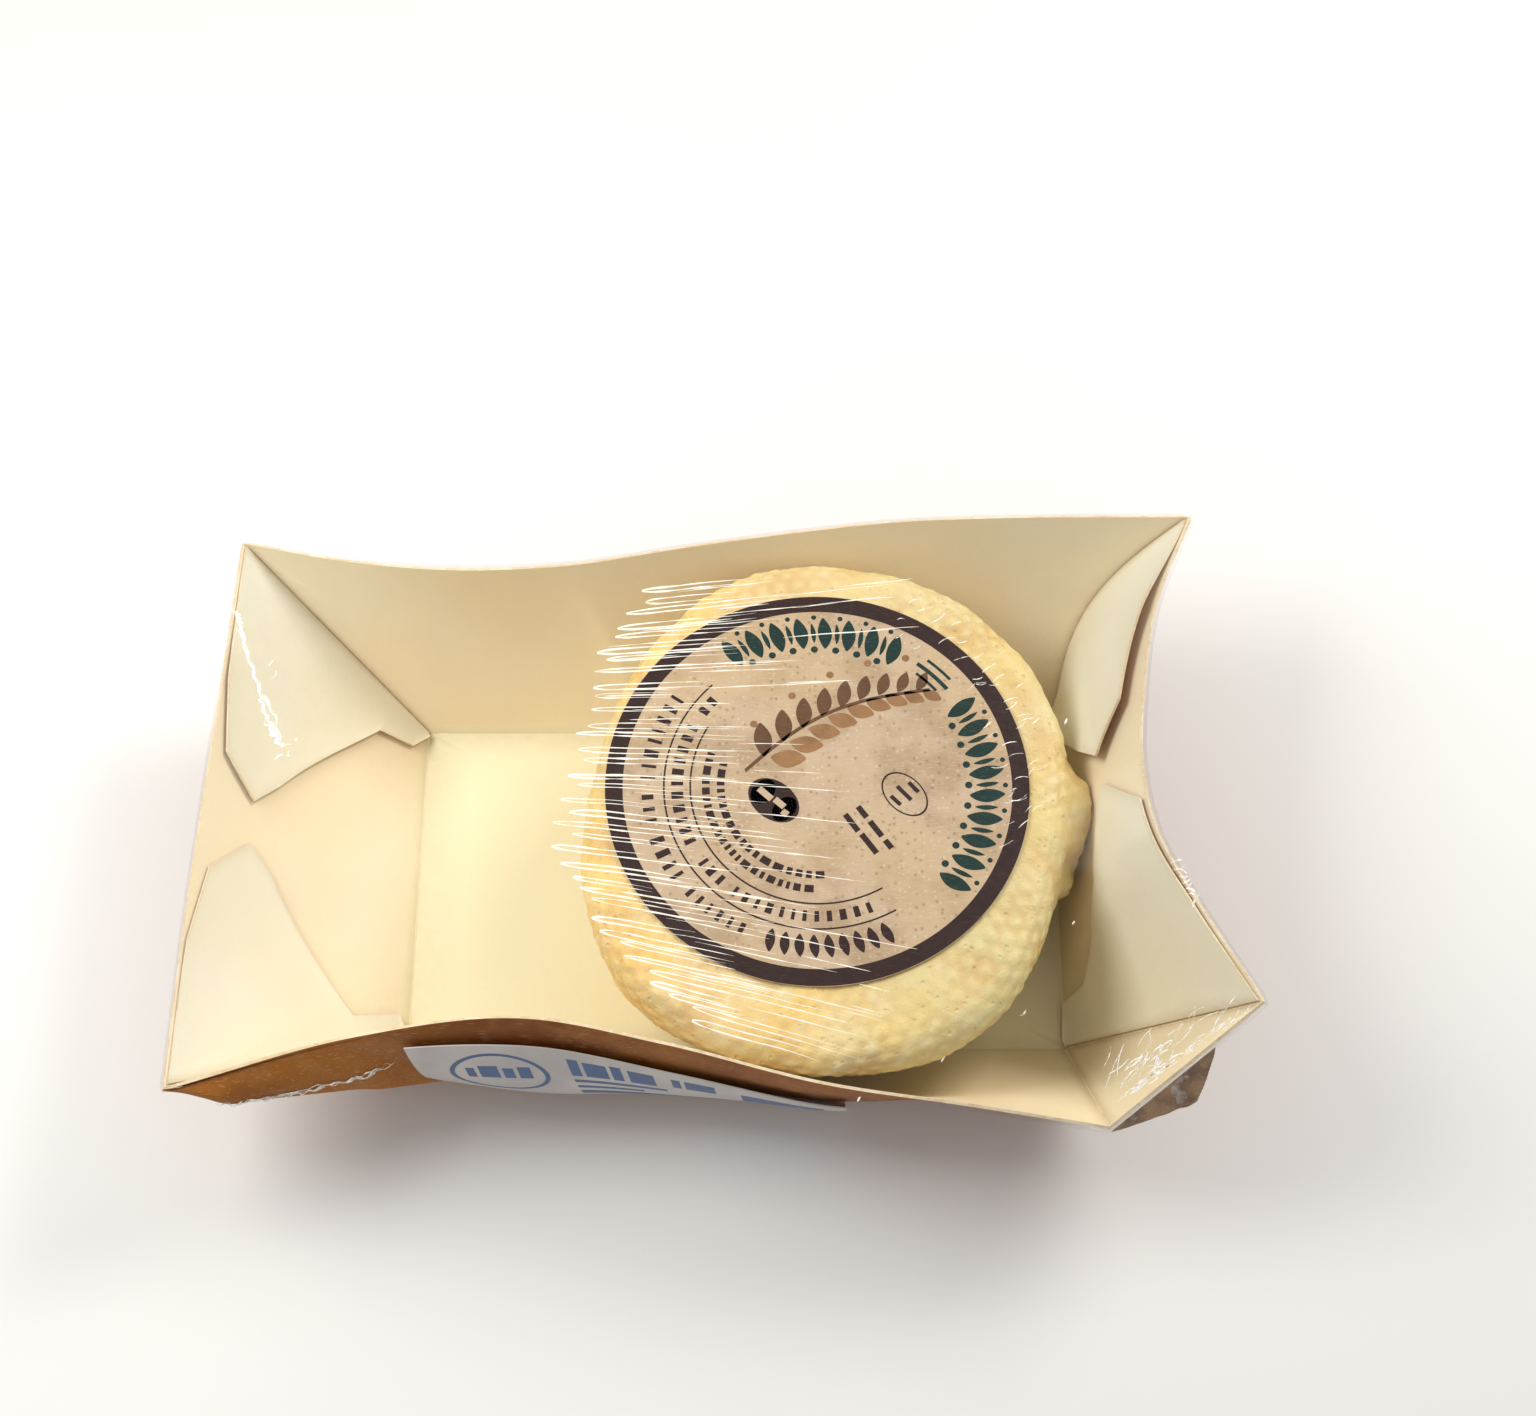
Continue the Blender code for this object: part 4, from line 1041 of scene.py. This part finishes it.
def cornerRidges(x, y, tips):
    # ridges that run out of each corner: a sine of the direction seen from the tip, strongest a
    # little way in and dying away by a bell of the distance
    s = filmShape
    total = np.zeros(np.shape(x))
    for k, (tipX, tipY) in enumerate(tips):
        far, angle = np.hypot(x - tipX, y - tipY), np.arctan2(y - tipY, x - tipX)
        wave = np.sin(angle * 26.0 + k) * np.sin(angle * 11.0 + 2.0 * k + 0.05 * far)
        total += s["cornerRidge"] * wave * np.exp(-(far / s["cornerReach"]) ** 2) * smoothStep(far / 12.0)
    return total


def filmRim():
    # the film's line over the rim, a little above the walls' upper edge, stretch by stretch
    heights = np.linspace(filmShape["foot"], 1.0, 26)
    wallGrid = wallRing(heights)
    rise = unitVectors(wallGrid[-1] - wallGrid[-2])
    return wallGrid, wallGrid[-1] + filmShape["rimGap"] * rise


wallGrid, rimLine = filmRim()


def buildFilm():
    # the top is a grid stretched between the four stretches of rim (opposite edges blended, less
    # the corners counted twice), lifted to the film's height; the skirt follows the outer walls
    s = filmShape
    out = gridNormals(wallGrid, closed=True)
    rim, starts = rimLine, wallStarts
    tips = rim[starts[:5], :2]

    def sides(row):
        # one turn of the walls as four stretches: front, right with the corner fold, back, left
        return (evenAlong(row[:starts[1] + 1], s["columns"]),
                evenAlong(row[starts[1]:starts[3] + 1], s["rows"]),
                evenAlong(row[starts[3]:starts[4] + 1], s["columns"]),
                evenAlong(np.concatenate([row[starts[4]:], row[:1]]), s["rows"]))
    front, right, back, left = sides(rim)
    back, left = back[::-1], left[::-1]
    u = np.linspace(0.0, 1.0, s["columns"])[None, :, None]
    v = np.linspace(0.0, 1.0, s["rows"])[:, None, None]
    grid = (mix(front[None], back[None], v) + mix(left[:, None], right[:, None], u)
            - mix(mix(front[0], front[-1], u), mix(back[0], back[-1], u), v))
    inside = np.minimum(np.minimum(u, 1 - u), np.minimum(v, 1 - v))[..., 0]
    high = filmHeight(grid[..., 0], grid[..., 1], rim) + cornerRidges(grid[..., 0], grid[..., 1], tips)
    grid[..., 2] = mix(grid[..., 2], high, smoothStep(inside / 0.004))
    station = np.arange(wallGrid.shape[1])[None] * (fullTurn / wallGrid.shape[1])
    level = np.linspace(0.0, 1.0, len(wallGrid))[:, None]
    pucker = softNoise(station, level, 21, 40, 150, 6.0, closed=True)
    near = 0.35 + foldValues(wallGrid, starts[:-1], 22.0)
    pucker = s["skirtPucker"] * near * pucker * smoothStep((1.0 - level) / 0.12)
    skirt = (wallGrid + (trayShape["card"] + s["skirtGap"] + np.maximum(pucker, -0.5)[..., None]) * out)[::-1]
    skirt = np.stack([np.concatenate([part[:-1] for part in sides(row)]) for row in skirt])
    count = s["rows"] * s["columns"]
    points = np.concatenate([grid.reshape(-1, 3), skirt.reshape(-1, 3)])
    number = np.arange(count).reshape(s["rows"], s["columns"])
    border = np.concatenate([number[0, :-1], number[:-1, -1], number[-1, :0:-1], number[:0:-1, 0]])
    hem = count + np.arange(skirt.shape[1])
    join = np.stack([border, hem, np.roll(hem, -1), np.roll(border, -1)], -1)
    return putMesh("stretch_film", points, [(gridQuads(s["rows"], s["columns"]), 0), (join, 0),
                   (gridQuads(*skirt.shape[:2], start=count, closed=True, flip=True), 0)],
                   [clearFilm], None)


film = buildFilm()
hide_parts("film")


def onFilm(x, y, above=0.0):
    return np.stack([x, y, filmHeight(x, y, rimLine) + above], -1)


streakLook = {
    "firstY": -44.0, "lastY": 50.0, "apart": 2.75, "startY": [-44, -39, -30, -20, -10, 0, 20, 40, 50],
    "startX": [-8, -12, -23, -30, -35, -36, -32, -27, -19], "shortest": 14.0, "longest": 40.0,
    "endY": [-44, -30, -10, 40, 50], "endX": [20, 38, 56, 50, 36], "slope": 0.0046, "levelY": 19.6,
    "pairGap": 1.05, "halfWidth": 0.34, "halfHeight": 0.13, "points": 72,
}


def buildStreaks():
    # strain folds of the film over the cheese: each is a hairpin of two fine ridges that meet in a bend at
    # the left, fan out a little and thin out to the right; then single, broken ridges; all are drawn in white
    # streak film as painted highlights
    s = streakLook
    rng = np.random.default_rng(5)
    rows = np.arange(s["firstY"], s["lastY"], s["apart"])
    rows = rows + rng.uniform(-0.7, 0.7, len(rows))
    y = np.concatenate([rows, rows + 0.5 * s["apart"], rows])
    single = np.repeat([0.0, 1.0, 1.0], len(rows))
    start = np.interp(y, s["startY"], s["startX"]) + rng.uniform(-1.5, 3.0, len(y))
    start = start + single * rng.uniform(2.0, 60.0, len(y)) ** mix(1.0, 0.9, single)
    length = rng.uniform(s["shortest"], s["longest"], len(y)) * mix(1.0, 0.7, single)
    length = np.minimum(length, np.interp(y, s["endY"], s["endX"]) - start)
    slope = s["slope"] * (y - s["levelY"]) + rng.uniform(-0.02, 0.02, len(y))
    start, length, slope, y, single = [part[:, None] for part in (start, length, slope, y, single)]
    way = np.linspace(-1.0, 1.0, s["points"])[None]
    reach = mix(np.abs(way), 0.5 * way + 0.5, single)
    gap = s["pairGap"] * rng.uniform(0.7, 1.2, y.shape) * (1.0 - single)
    x = start + length * reach
    wander = 0.10 * softNoise(x, y, 6, 12, 0.5, 3.0)
    path = onFilm(x, y + slope * length * reach + 0.5 * gap * np.tanh(way * 11.0) + wander, 0.03)
    swell = (1.0 - np.abs(way)) ** 0.7 * (0.6 + 0.4 * smoothStep(np.abs(way) / 0.08))
    fade = mix(swell, 0.6 * np.cos(0.5 * math.pi * way) ** 0.6, single)
    thick = fade * (0.62 + 0.38 * softNoise(x, y + way, 7, 20, 1.3, 5.0)) * rng.uniform(0.6, 1.2, y.shape)
    thick = np.clip(thick, 0.05, 1.2)
    up = np.zeros(path.shape) + (0.0, 0.0, 1.0)
    runs = cordBodies(path, up, s["halfWidth"] * thick, s["halfHeight"] * thick)
    return putBodies("film_streak_highlights", [runs], streakHighlightFilm)


def glints(places, length, direction, spread, seed, halfWidth):
    # short ridges round given places: centre, direction and length drawn for each, slightly bent
    rng = np.random.default_rng(seed)
    places = np.array(places, float)
    count = len(places)
    turned = np.radians(direction + rng.uniform(-spread, spread, count))
    size = length * rng.uniform(0.5, 1.3, count)
    way = np.linspace(-0.5, 0.5, 14)[None]
    bend = rng.uniform(-0.18, 0.18, count)[:, None] * size[:, None] * (1.0 - 4.0 * way ** 2)
    x = places[:, :1] + size[:, None] * way * np.cos(turned)[:, None] - bend * np.sin(turned)[:, None]
    y = places[:, 1:] + size[:, None] * way * np.sin(turned)[:, None] + bend * np.cos(turned)[:, None]
    thick = (1.0 - 4.0 * way ** 2) ** 0.5 * rng.uniform(0.5, 1.2, count)[:, None] + 0.05
    path = onFilm(x, y, 0.04)
    return cordBodies(path, np.zeros(path.shape) + (0.0, 0.0, 1.0),
                      halfWidth * thick, 0.45 * halfWidth * thick)


def crumple(corners, wobble, halfWidth, seed, count=70, outward=(0.0, 0.0, 1.0)):
    # one gathered fold of film: a path through the corners with a fast wobble to both sides and a
    # width that swells and narrows
    rng = np.random.default_rng(seed)
    path = curveThrough(corners, count - 1)
    along = unitVectors(np.gradient(path, axis=0))
    side = unitVectors(np.cross(np.array(outward, float), along))
    way = np.linspace(0.0, 1.0, count)
    sway = softNoise(way * 60.0, way * 0.0, seed, 10, 1.0, 1.0)
    path = path + (wobble * sway)[:, None] * side
    path = path + (0.4 * wobble * np.roll(sway, 7))[:, None] * np.array(outward)
    swell = 0.25 + 0.75 * np.abs(softNoise(way * 40.0, way, seed + 1, 12, 1.0, 3.0))
    thick = swell * np.sin(math.pi * way) ** 0.4
    thick = (thick + 0.05) * rng.uniform(0.9, 1.1, count)
    up = np.zeros((1, count, 3)) + np.array(outward, float)
    return cordBodies(path[None], up, halfWidth * thick[None], 0.5 * halfWidth * thick[None])


def buildGathers():
    # gathered and creased film: over the back left flap, along the front wall, over the folded corner at the
    # front right, on the shoulder of the cheese and along the rim at the right, drawn in white gather film as
    # painted highlights
    rng = np.random.default_rng(8)
    bodies = [crumple([(-104.2, 45.3, 39.7), (-102.9, 41.2, 39.5), (-100.9, 35.5, 39.2), (-97.8, 27.7, 39.0),
                       (-94.5, 22.1, 38.9), (-92.4, 16.0, 38.8)], 0.40, 0.62, 31),
              crumple([(-104.8, 46.0, 39.8), (-103.0, 43.5, 39.6), (-103.6, 40.5, 39.5)], 0.8, 0.40, 32, 40),
              crumple([(-97.6, 26.0, 39.0), (-94.4, 18.5, 38.9), (-92.2, 14.5, 38.8)], 0.5, 0.80, 33, 40)]
    bodies.append(glints([(-91.2, 15.2), (-90.6, 13.4), (-92.6, 12.6), (-95.0, 31.0), (-96.0, 33.5),
                          (-101.5, 38.2), (-89.6, 16.6)], 1.5, 60.0, 50.0, 34, 0.22))
    # folded corner at the front right: oblique creases fanning from the lower tip
    share = rng.uniform(0.10, 0.95, 34)
    depth = rng.uniform(0.15, 0.85, 34)
    web = mix(np.array((71.0, -60.0)), np.array((98.0, -43.0)), share[:, None])
    inner = mix(np.array((66.0, -50.0)), np.array((90.0, -40.5)), share[:, None])
    bodies.append(glints(mix(web, inner, depth[:, None]), 6.0, 52.0, 26.0, 35, 0.13))
    bodies.append(glints(mix(web, inner, 0.08), 4.0, 38.0, 12.0, 36, 0.16))
    # shoulder and ring at the right, single specks over the gap beside the cheese
    angle = rng.uniform(-0.35, 1.15, 46)
    far = labelShape["radius"] * rng.uniform(0.86, 1.10, 46)
    middle = labelShape["centre"]
    ringPlaces = np.stack([middle[0] + far * np.cos(angle), middle[1] + far * np.sin(angle)], -1)
    bodies.append(glints(ringPlaces, 3.2, 28.0, 22.0, 37, 0.10))
    bodies.append(glints([(65.7, -23.7), (55.6, -41.0), (24.0, -58.0), (40.0, -50.5), (66.0, 19.0)],
                         1.5, 52.0, 14.0, 38, 0.2))
    bodies.append(glints(np.stack([np.linspace(85.0, 88.6, 9), np.linspace(-14.5, -22.0, 9)], -1),
                         2.4, 10.0, 60.0, 39, 0.22))
    return putBodies("film_gathers", bodies, gatherHighlightFilm)


gussetShape = {"reach": 5.2, "peak": 0.48, "until": 0.68, "drop": 1.6,
               "rows": 26, "columns": 90, "thickness": 0.35}


def buildGusset():
    # film and board folded under the rim at the front right: a sheet that hangs from the corner's
    # outer edge, furthest out at its peak share, crumpled by soft noise that grows outwards
    s = gussetShape
    edge = wallGrid[-1][wallStarts[1]:wallStarts[2] + 1]
    u = np.linspace(0.0, s["until"], s["columns"])
    line = evenAlong(edge, 200)[(u * 199).astype(int)]
    out = np.array((0.56, -0.83, 0.0))
    falling = ((s["until"] - u) / (s["until"] - s["peak"])) ** 0.8
    reach = s["reach"] * np.where(u < s["peak"], (u / s["peak"]) ** 0.9, falling)
    v = np.linspace(0.0, 1.0, s["rows"])[:, None]
    crush = softNoise(u[None] * 60.0, v * 9.0, 51, 40, 1.0, 1.0) * v * np.minimum(0.12 * reach, 0.4)
    grid = line[None] + (0.9 + v * reach)[..., None] * out
    grid[..., 2] += -0.8 - s["drop"] * v * reach * 0.6 + 0.7 * crush
    grid = grid + (0.25 * np.roll(crush, 9, axis=1))[..., None] * out
    sheet = sheetBody(grid, grid - (0.0, 0.0, s["thickness"]))
    return putBodies("folded_film_corner", [sheet], crumpledFilm, 50.0)


bulgeShape = {
    "from": 0.004, "footFrom": 0.02, "rimHeight": 0.985, "footHeight": 0.22, "settleFrom": 0.72,
    "lowEdge": [(-109.3, -56.6, 36.4), (-105.7, -56.6, 35.2), (-102.0, -57.1, 33.6), (-98.1, -57.6, 31.4),
                (-91.9, -56.2, 29.5), (-84.6, -54.6, 27.5), (-75.3, -52.8, 25.0), (-65.9, -51.2, 22.5),
                (-58.4, -49.5, 20.0), (-51.0, -47.6, 16.0)],
    "until": 0.23, "rows": 40, "columns": 110, "thickness": 0.3, "swell": 1.2, "settled": 0.72,
}


def buildFrontBulge():
    # the outer board puffs out below the rim at the front left: each column goes from the rim to the
    # low edge with a sine's swell, then turns under and back to the wall's foot
    s = bulgeShape
    t = np.linspace(0.0, 1.0, s["columns"])
    along, level = s["from"] + t * s["until"], np.ones(len(t))
    top = wallSpots(walls["front"], along, s["rimHeight"] * level) + (0.0, -1.0, -0.4)
    foot = wallSpots(walls["front"], s["footFrom"] + t * s["until"],
                     s["footHeight"] * level) + (0.0, -1.0, 0.0)
    low = curveThrough(s["lowEdge"], s["columns"] - 1)
    out = np.array((-0.10, -0.90, 0.42))
    upper = int(0.7 * s["rows"])
    v = np.linspace(0.0, 1.0, upper)[:, None, None]
    swell = s["swell"] * np.sin(math.pi * v) * smoothStep(t / 0.2)[None, :, None]
    hang = mix(top[None], low[None], v) + swell * out
    v = np.linspace(0.0, 1.0, s["rows"] - upper + 1)[1:, None, None]
    under = mix(low[None], foot[None], v) + 0.6 * np.sin(math.pi * v) * (0.0, -0.3, -1.0)
    grid = np.concatenate([hang, under])
    dents = 0.22 * softNoise(t[None] * 45.0, np.linspace(0.0, 9.0, s["rows"])[:, None], 61, 30, 1.0, 1.0)
    fade = np.sin(math.pi * np.linspace(0.0, 1.0, s["rows"]))[:, None] * np.sin(math.pi * t) ** 0.5
    grid = grid + (dents * fade)[..., None] * out
    # the last columns lie down on the wall's outer face, so that no free edge shows
    along, height = np.meshgrid(along, np.linspace(s["rimHeight"], s["footHeight"], s["rows"]))
    flat = wallSpots(walls["front"], along, height) + (0.0, -s["settled"], -0.1)
    settling = smoothStep((t - s["settleFrom"]) / (1.0 - s["settleFrom"]))
    grid = mix(grid, flat, settling[None, :, None])
    sheet = sheetBody(grid[::-1], grid[::-1] + (0.0, s["thickness"], 0.0))
    # white creases of film over the bulge, in gather film: painted highlights
    creases = [crumple(grid[np.round(mix(start, end, np.linspace(0.0, 1.0, 9))).astype(int),
                            np.round(np.linspace(fromColumn, toColumn, 9)).astype(int)] + 0.35 * out,
                       0.5, width, seed, 120, out)
               for start, end, fromColumn, toColumn, width, seed in
               ((26, 12, 22, 92, 0.42, 41), (24, 15, 34, 84, 0.34, 42), (27, 20, 18, 60, 0.38, 43),
                (22, 10, 52, 96, 0.26, 44))]
    board = putBodies("front_board_bulge", [sheet], kraftCard, 50.0)
    return board, putBodies("bulge_crease_highlights", creases, gatherHighlightFilm)


def makeCrumpledFilm():
    # brown board under crumpled film: a broken mask between the board and grey-white patches painted for the
    # film's reflections, glossy
    material, tree, shader = newMaterial("crumpled_film")
    broken = softMask(tree, 3.0, 5.0, 0.54, 0.72)
    shade = softMask(tree, 7.0, 3.0, 0.4, 0.6, 0.4)
    board = blend(tree, shade, (0.33, 0.19, 0.09), (0.16, 0.075, 0.03))
    tree.links.new(blend(tree, times(tree, broken, 0.6), board, (0.60, 0.55, 0.52)),
                   shader.inputs["Base Color"])
    tree.links.new(ranged(tree, broken, 0.12, 0.3), shader.inputs["Roughness"])
    fine = softMask(tree, 0.8, 3.0, 0.3, 0.7)
    addBump(tree, shader, fine, 0.2 * mm)
    shader.inputs["Specular IOR Level"].default_value = 0.9
    return material


crumpledFilm = makeCrumpledFilm()
filmPieces = [buildStreaks(), buildGathers(), buildGusset(), *buildFrontBulge()]
print("film made")


priceShape = {"fromX": -64.0, "toX": 22.0, "slant": 5.5, "left": (0.34, 0.91), "right": (0.22, 0.70),
              "away": 2.2, "paper": 0.3, "rows": 24, "columns": 60, "inkRise": 0.04, "inkSink": 0.1}


def priceGrid(u, v):
    # shares across and up the label to points of the front wall's inner surface and its outward side;
    # the share along the wall is corrected six times by what its x misses
    s = priceShape
    low, high = mix(s["left"][0], s["right"][0], u), mix(s["left"][1], s["right"][1], u)
    height = mix(low, high, v)
    x = mix(s["fromX"] + s["slant"] * (1.0 - v), s["toX"], u)
    wall = walls["front"]
    tipX = mix(np.interp(0.0, wall["share"], wall["base"][:, 0]), wall["rim"][0, 0], height)
    endX = mix(wall["base"][-1, 0], wall["rim"][-1, 0], height)
    along = (x - tipX) / (endX - tipX)
    for _ in range(6):
        along = along + (x - wallSpots(wall, along, height)[..., 0]) / (endX - tipX)
    points = wallSpots(wall, along, height)
    return points, unitVectors(np.cross(np.gradient(points, axis=1), np.gradient(points, axis=0)))


def makePaper(name, colour, patch):
    # coated paper: two close tints in soft patches, faint fibres
    material, tree, shader = newMaterial(name)
    tone = softMask(tree, 14.0, 4.0, 0.38, 0.64)
    fibre = useGroup(tree, fibreGrain, Length=1.4, Width=0.2, Flecks=0.68)
    mixed = blend(tree, tone, colour, patch)
    tree.links.new(blend(tree, times(tree, fibre["Fleck"], 0.12), mixed, (0.5, 0.5, 0.5)),
                   shader.inputs["Base Color"])
    tree.links.new(ranged(tree, tone, 0.34, 0.52), shader.inputs["Roughness"])
    addBump(tree, shader, fibre["Height"], 0.03 * mm)
    return material


# the price paper is a grey white: partly its own off-white, partly painted shade of the front wall it sits on
pricePaper = makePaper("price_paper", (0.60, 0.56, 0.54), (0.52, 0.49, 0.48))
blueInk = makePaper("blue_ink", (0.055, 0.11, 0.25), (0.08, 0.15, 0.31))


def buildPriceLabel():
    # a sheet of paper that follows the front wall, outside the film's skirt
    s = priceShape
    u, v = np.meshgrid(np.linspace(0, 1, s["columns"]), np.linspace(0, 1, s["rows"]))
    points, out = priceGrid(u, v)
    front = points + (s["away"] + s["paper"]) * out
    back = points + s["away"] * out
    return putBodies("price_label_paper", [sheetBody(front, back)], pricePaper, 40.0)


def printPriceLabel():
    # a plain oval ring and rows of blue fields, laid on the label by its own shares across and up
    s = priceShape
    turn = np.linspace(0.0, fullTurn, 72)
    ringGrid = np.stack([np.stack([0.19 + r * 0.115 * np.cos(turn), 0.60 + r * 0.30 * np.sin(turn)], -1)
                         for r in (0.90, 1.0)])
    fields = [(0.115, 0.135, 0.55, 0.70), (0.145, 0.19, 0.55, 0.73), (0.20, 0.225, 0.55, 0.70),
              (0.235, 0.265, 0.55, 0.72), (0.36, 0.385, 0.62, 0.88), (0.395, 0.45, 0.62, 0.86),
              (0.46, 0.485, 0.62, 0.88), (0.50, 0.56, 0.62, 0.86), (0.60, 0.62, 0.66, 0.86),
              (0.63, 0.70, 0.66, 0.86), (0.36, 0.58, 0.50, 0.55), (0.36, 0.52, 0.38, 0.43),
              (0.36, 0.70, 0.20, 0.30), (0.76, 0.95, 0.15, 0.80)]
    u0, u1, v0, v1 = np.array(fields).T[..., None, None]
    across, up = np.meshgrid(np.linspace(0, 1, 9), np.linspace(0, 1, 5))
    blocks = np.stack([mix(u0, u1, across), mix(v0, v1, up)], -1)
    bodies = []
    for patch in [ringGrid, *blocks]:
        points, out = priceGrid(patch[..., 0], patch[..., 1])
        out = out * -np.sign(out[..., 1:2])
        high = s["away"] + s["paper"]
        front = points + (high + s["inkRise"]) * out
        back = points + (high - s["inkSink"]) * out
        facing = np.cross(front[0, 1] - front[0, 0], front[1, 0] - front[0, 0])
        if facing[1] > 0.0:  # a patch that runs the wrong way round is turned over
            front, back = front[:, ::-1], back[:, ::-1]
        bodies.append(sheetBody(front, back))
    return putBodies("price_label_print", bodies, blueInk)


priceLabel = buildPriceLabel()
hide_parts("price_label")
pricePrint = printPriceLabel()
print("price label made")


for piece in [tray, *flaps, creases, cheese, label, *labelPrint, film, *filmPieces, priceLabel, pricePrint]:
    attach(piece, "root")  # nothing on the pack moves


def makeFloor():
    # plain pale studio floor with a faint unevenness of tone
    material, tree, shader = newMaterial("pale_floor")
    tone = softMask(tree, 220.0, 2.0, 0.3, 0.7)
    tree.links.new(blend(tree, tone, (0.93, 0.93, 0.93), (0.91, 0.91, 0.91)), shader.inputs["Base Color"])
    tree.links.new(ranged(tree, tone, 0.6, 0.7), shader.inputs["Roughness"])
    mesh = bpy.data.meshes.new("floor")
    mesh.from_pydata([(-3, -3, -0.0002), (3, -3, -0.0002), (3, 3, -0.0002), (-3, 3, -0.0002)],
                     [], [(0, 1, 2, 3)])
    mesh.materials.append(material)
    floor = bpy.data.objects.new("floor", mesh)
    bpy.context.scene.collection.objects.link(floor)


studioLight = {
    "world": (1.0, 0.99, 0.97), "worldStrength": 0.42, "aim": (0.0, 0.0, 0.03),
    "key": {"place": (-0.27, 0.07, 0.34), "size": (0.22, 0.22), "power": 1.08, "colour": (1.0, 0.975, 0.91)},
    "fill": {"place": (0.40, 0.36, 0.46), "size": (0.26, 0.26), "power": 2.5, "colour": (1.0, 0.96, 0.89)},
}


def addStudioLight():
    # even light from the world and two rectangular lamps that face the pack
    world = bpy.data.worlds.new("studio")
    bpy.context.scene.world = world
    world.use_nodes = True
    background = world.node_tree.nodes["Background"]
    background.inputs["Color"].default_value = (*studioLight["world"], 1.0)
    background.inputs["Strength"].default_value = studioLight["worldStrength"]
    for name in ("key", "fill"):
        look = studioLight[name]
        light = bpy.data.lights.new(name, "AREA")
        light.shape = "RECTANGLE"
        light.size, light.size_y = look["size"]
        light.energy = look["power"]
        light.color = look["colour"]
        obj = bpy.data.objects.new(name, light)
        obj.location = look["place"]
        toPack = Vector(studioLight["aim"]) - Vector(look["place"])
        obj.rotation_euler = toPack.to_track_quat("-Z", "Y").to_euler()
        bpy.context.scene.collection.objects.link(obj)


# distance and angles fitted to the label's outline and the base's corners in a 1536 x 1416 image
cameraFit = {"focal": 2600.0, "width": 1536.0, "sensor": 36.0, "elevation": 1.127326, "yaw": -0.005385,
             "roll": -0.001127, "aim": (0.0055, 0.0425, 0.0), "distance": 0.5726}


def addCamera():
    # looks at its aim from the fitted distance; the lens is the sensor's width by focal over width
    c = cameraFit
    data = bpy.data.cameras.new("camera")
    data.sensor_width = c["sensor"]
    data.lens = c["sensor"] * c["focal"] / c["width"]
    data.clip_start = 0.01
    obj = bpy.data.objects.new("camera", data)
    bpy.context.scene.collection.objects.link(obj)
    forward = np.array([math.sin(c["yaw"]) * math.cos(c["elevation"]),
                        math.cos(c["yaw"]) * math.cos(c["elevation"]),
                        -math.sin(c["elevation"])])
    obj.location = np.array(c["aim"]) - c["distance"] * forward
    obj.rotation_euler = (0.5 * math.pi - c["elevation"], c["roll"], -c["yaw"])
    bpy.context.scene.camera = obj


makeFloor()
addStudioLight()
addCamera()
bpy.context.scene.view_settings.view_transform = "Standard"
print("floor, light and camera placed")
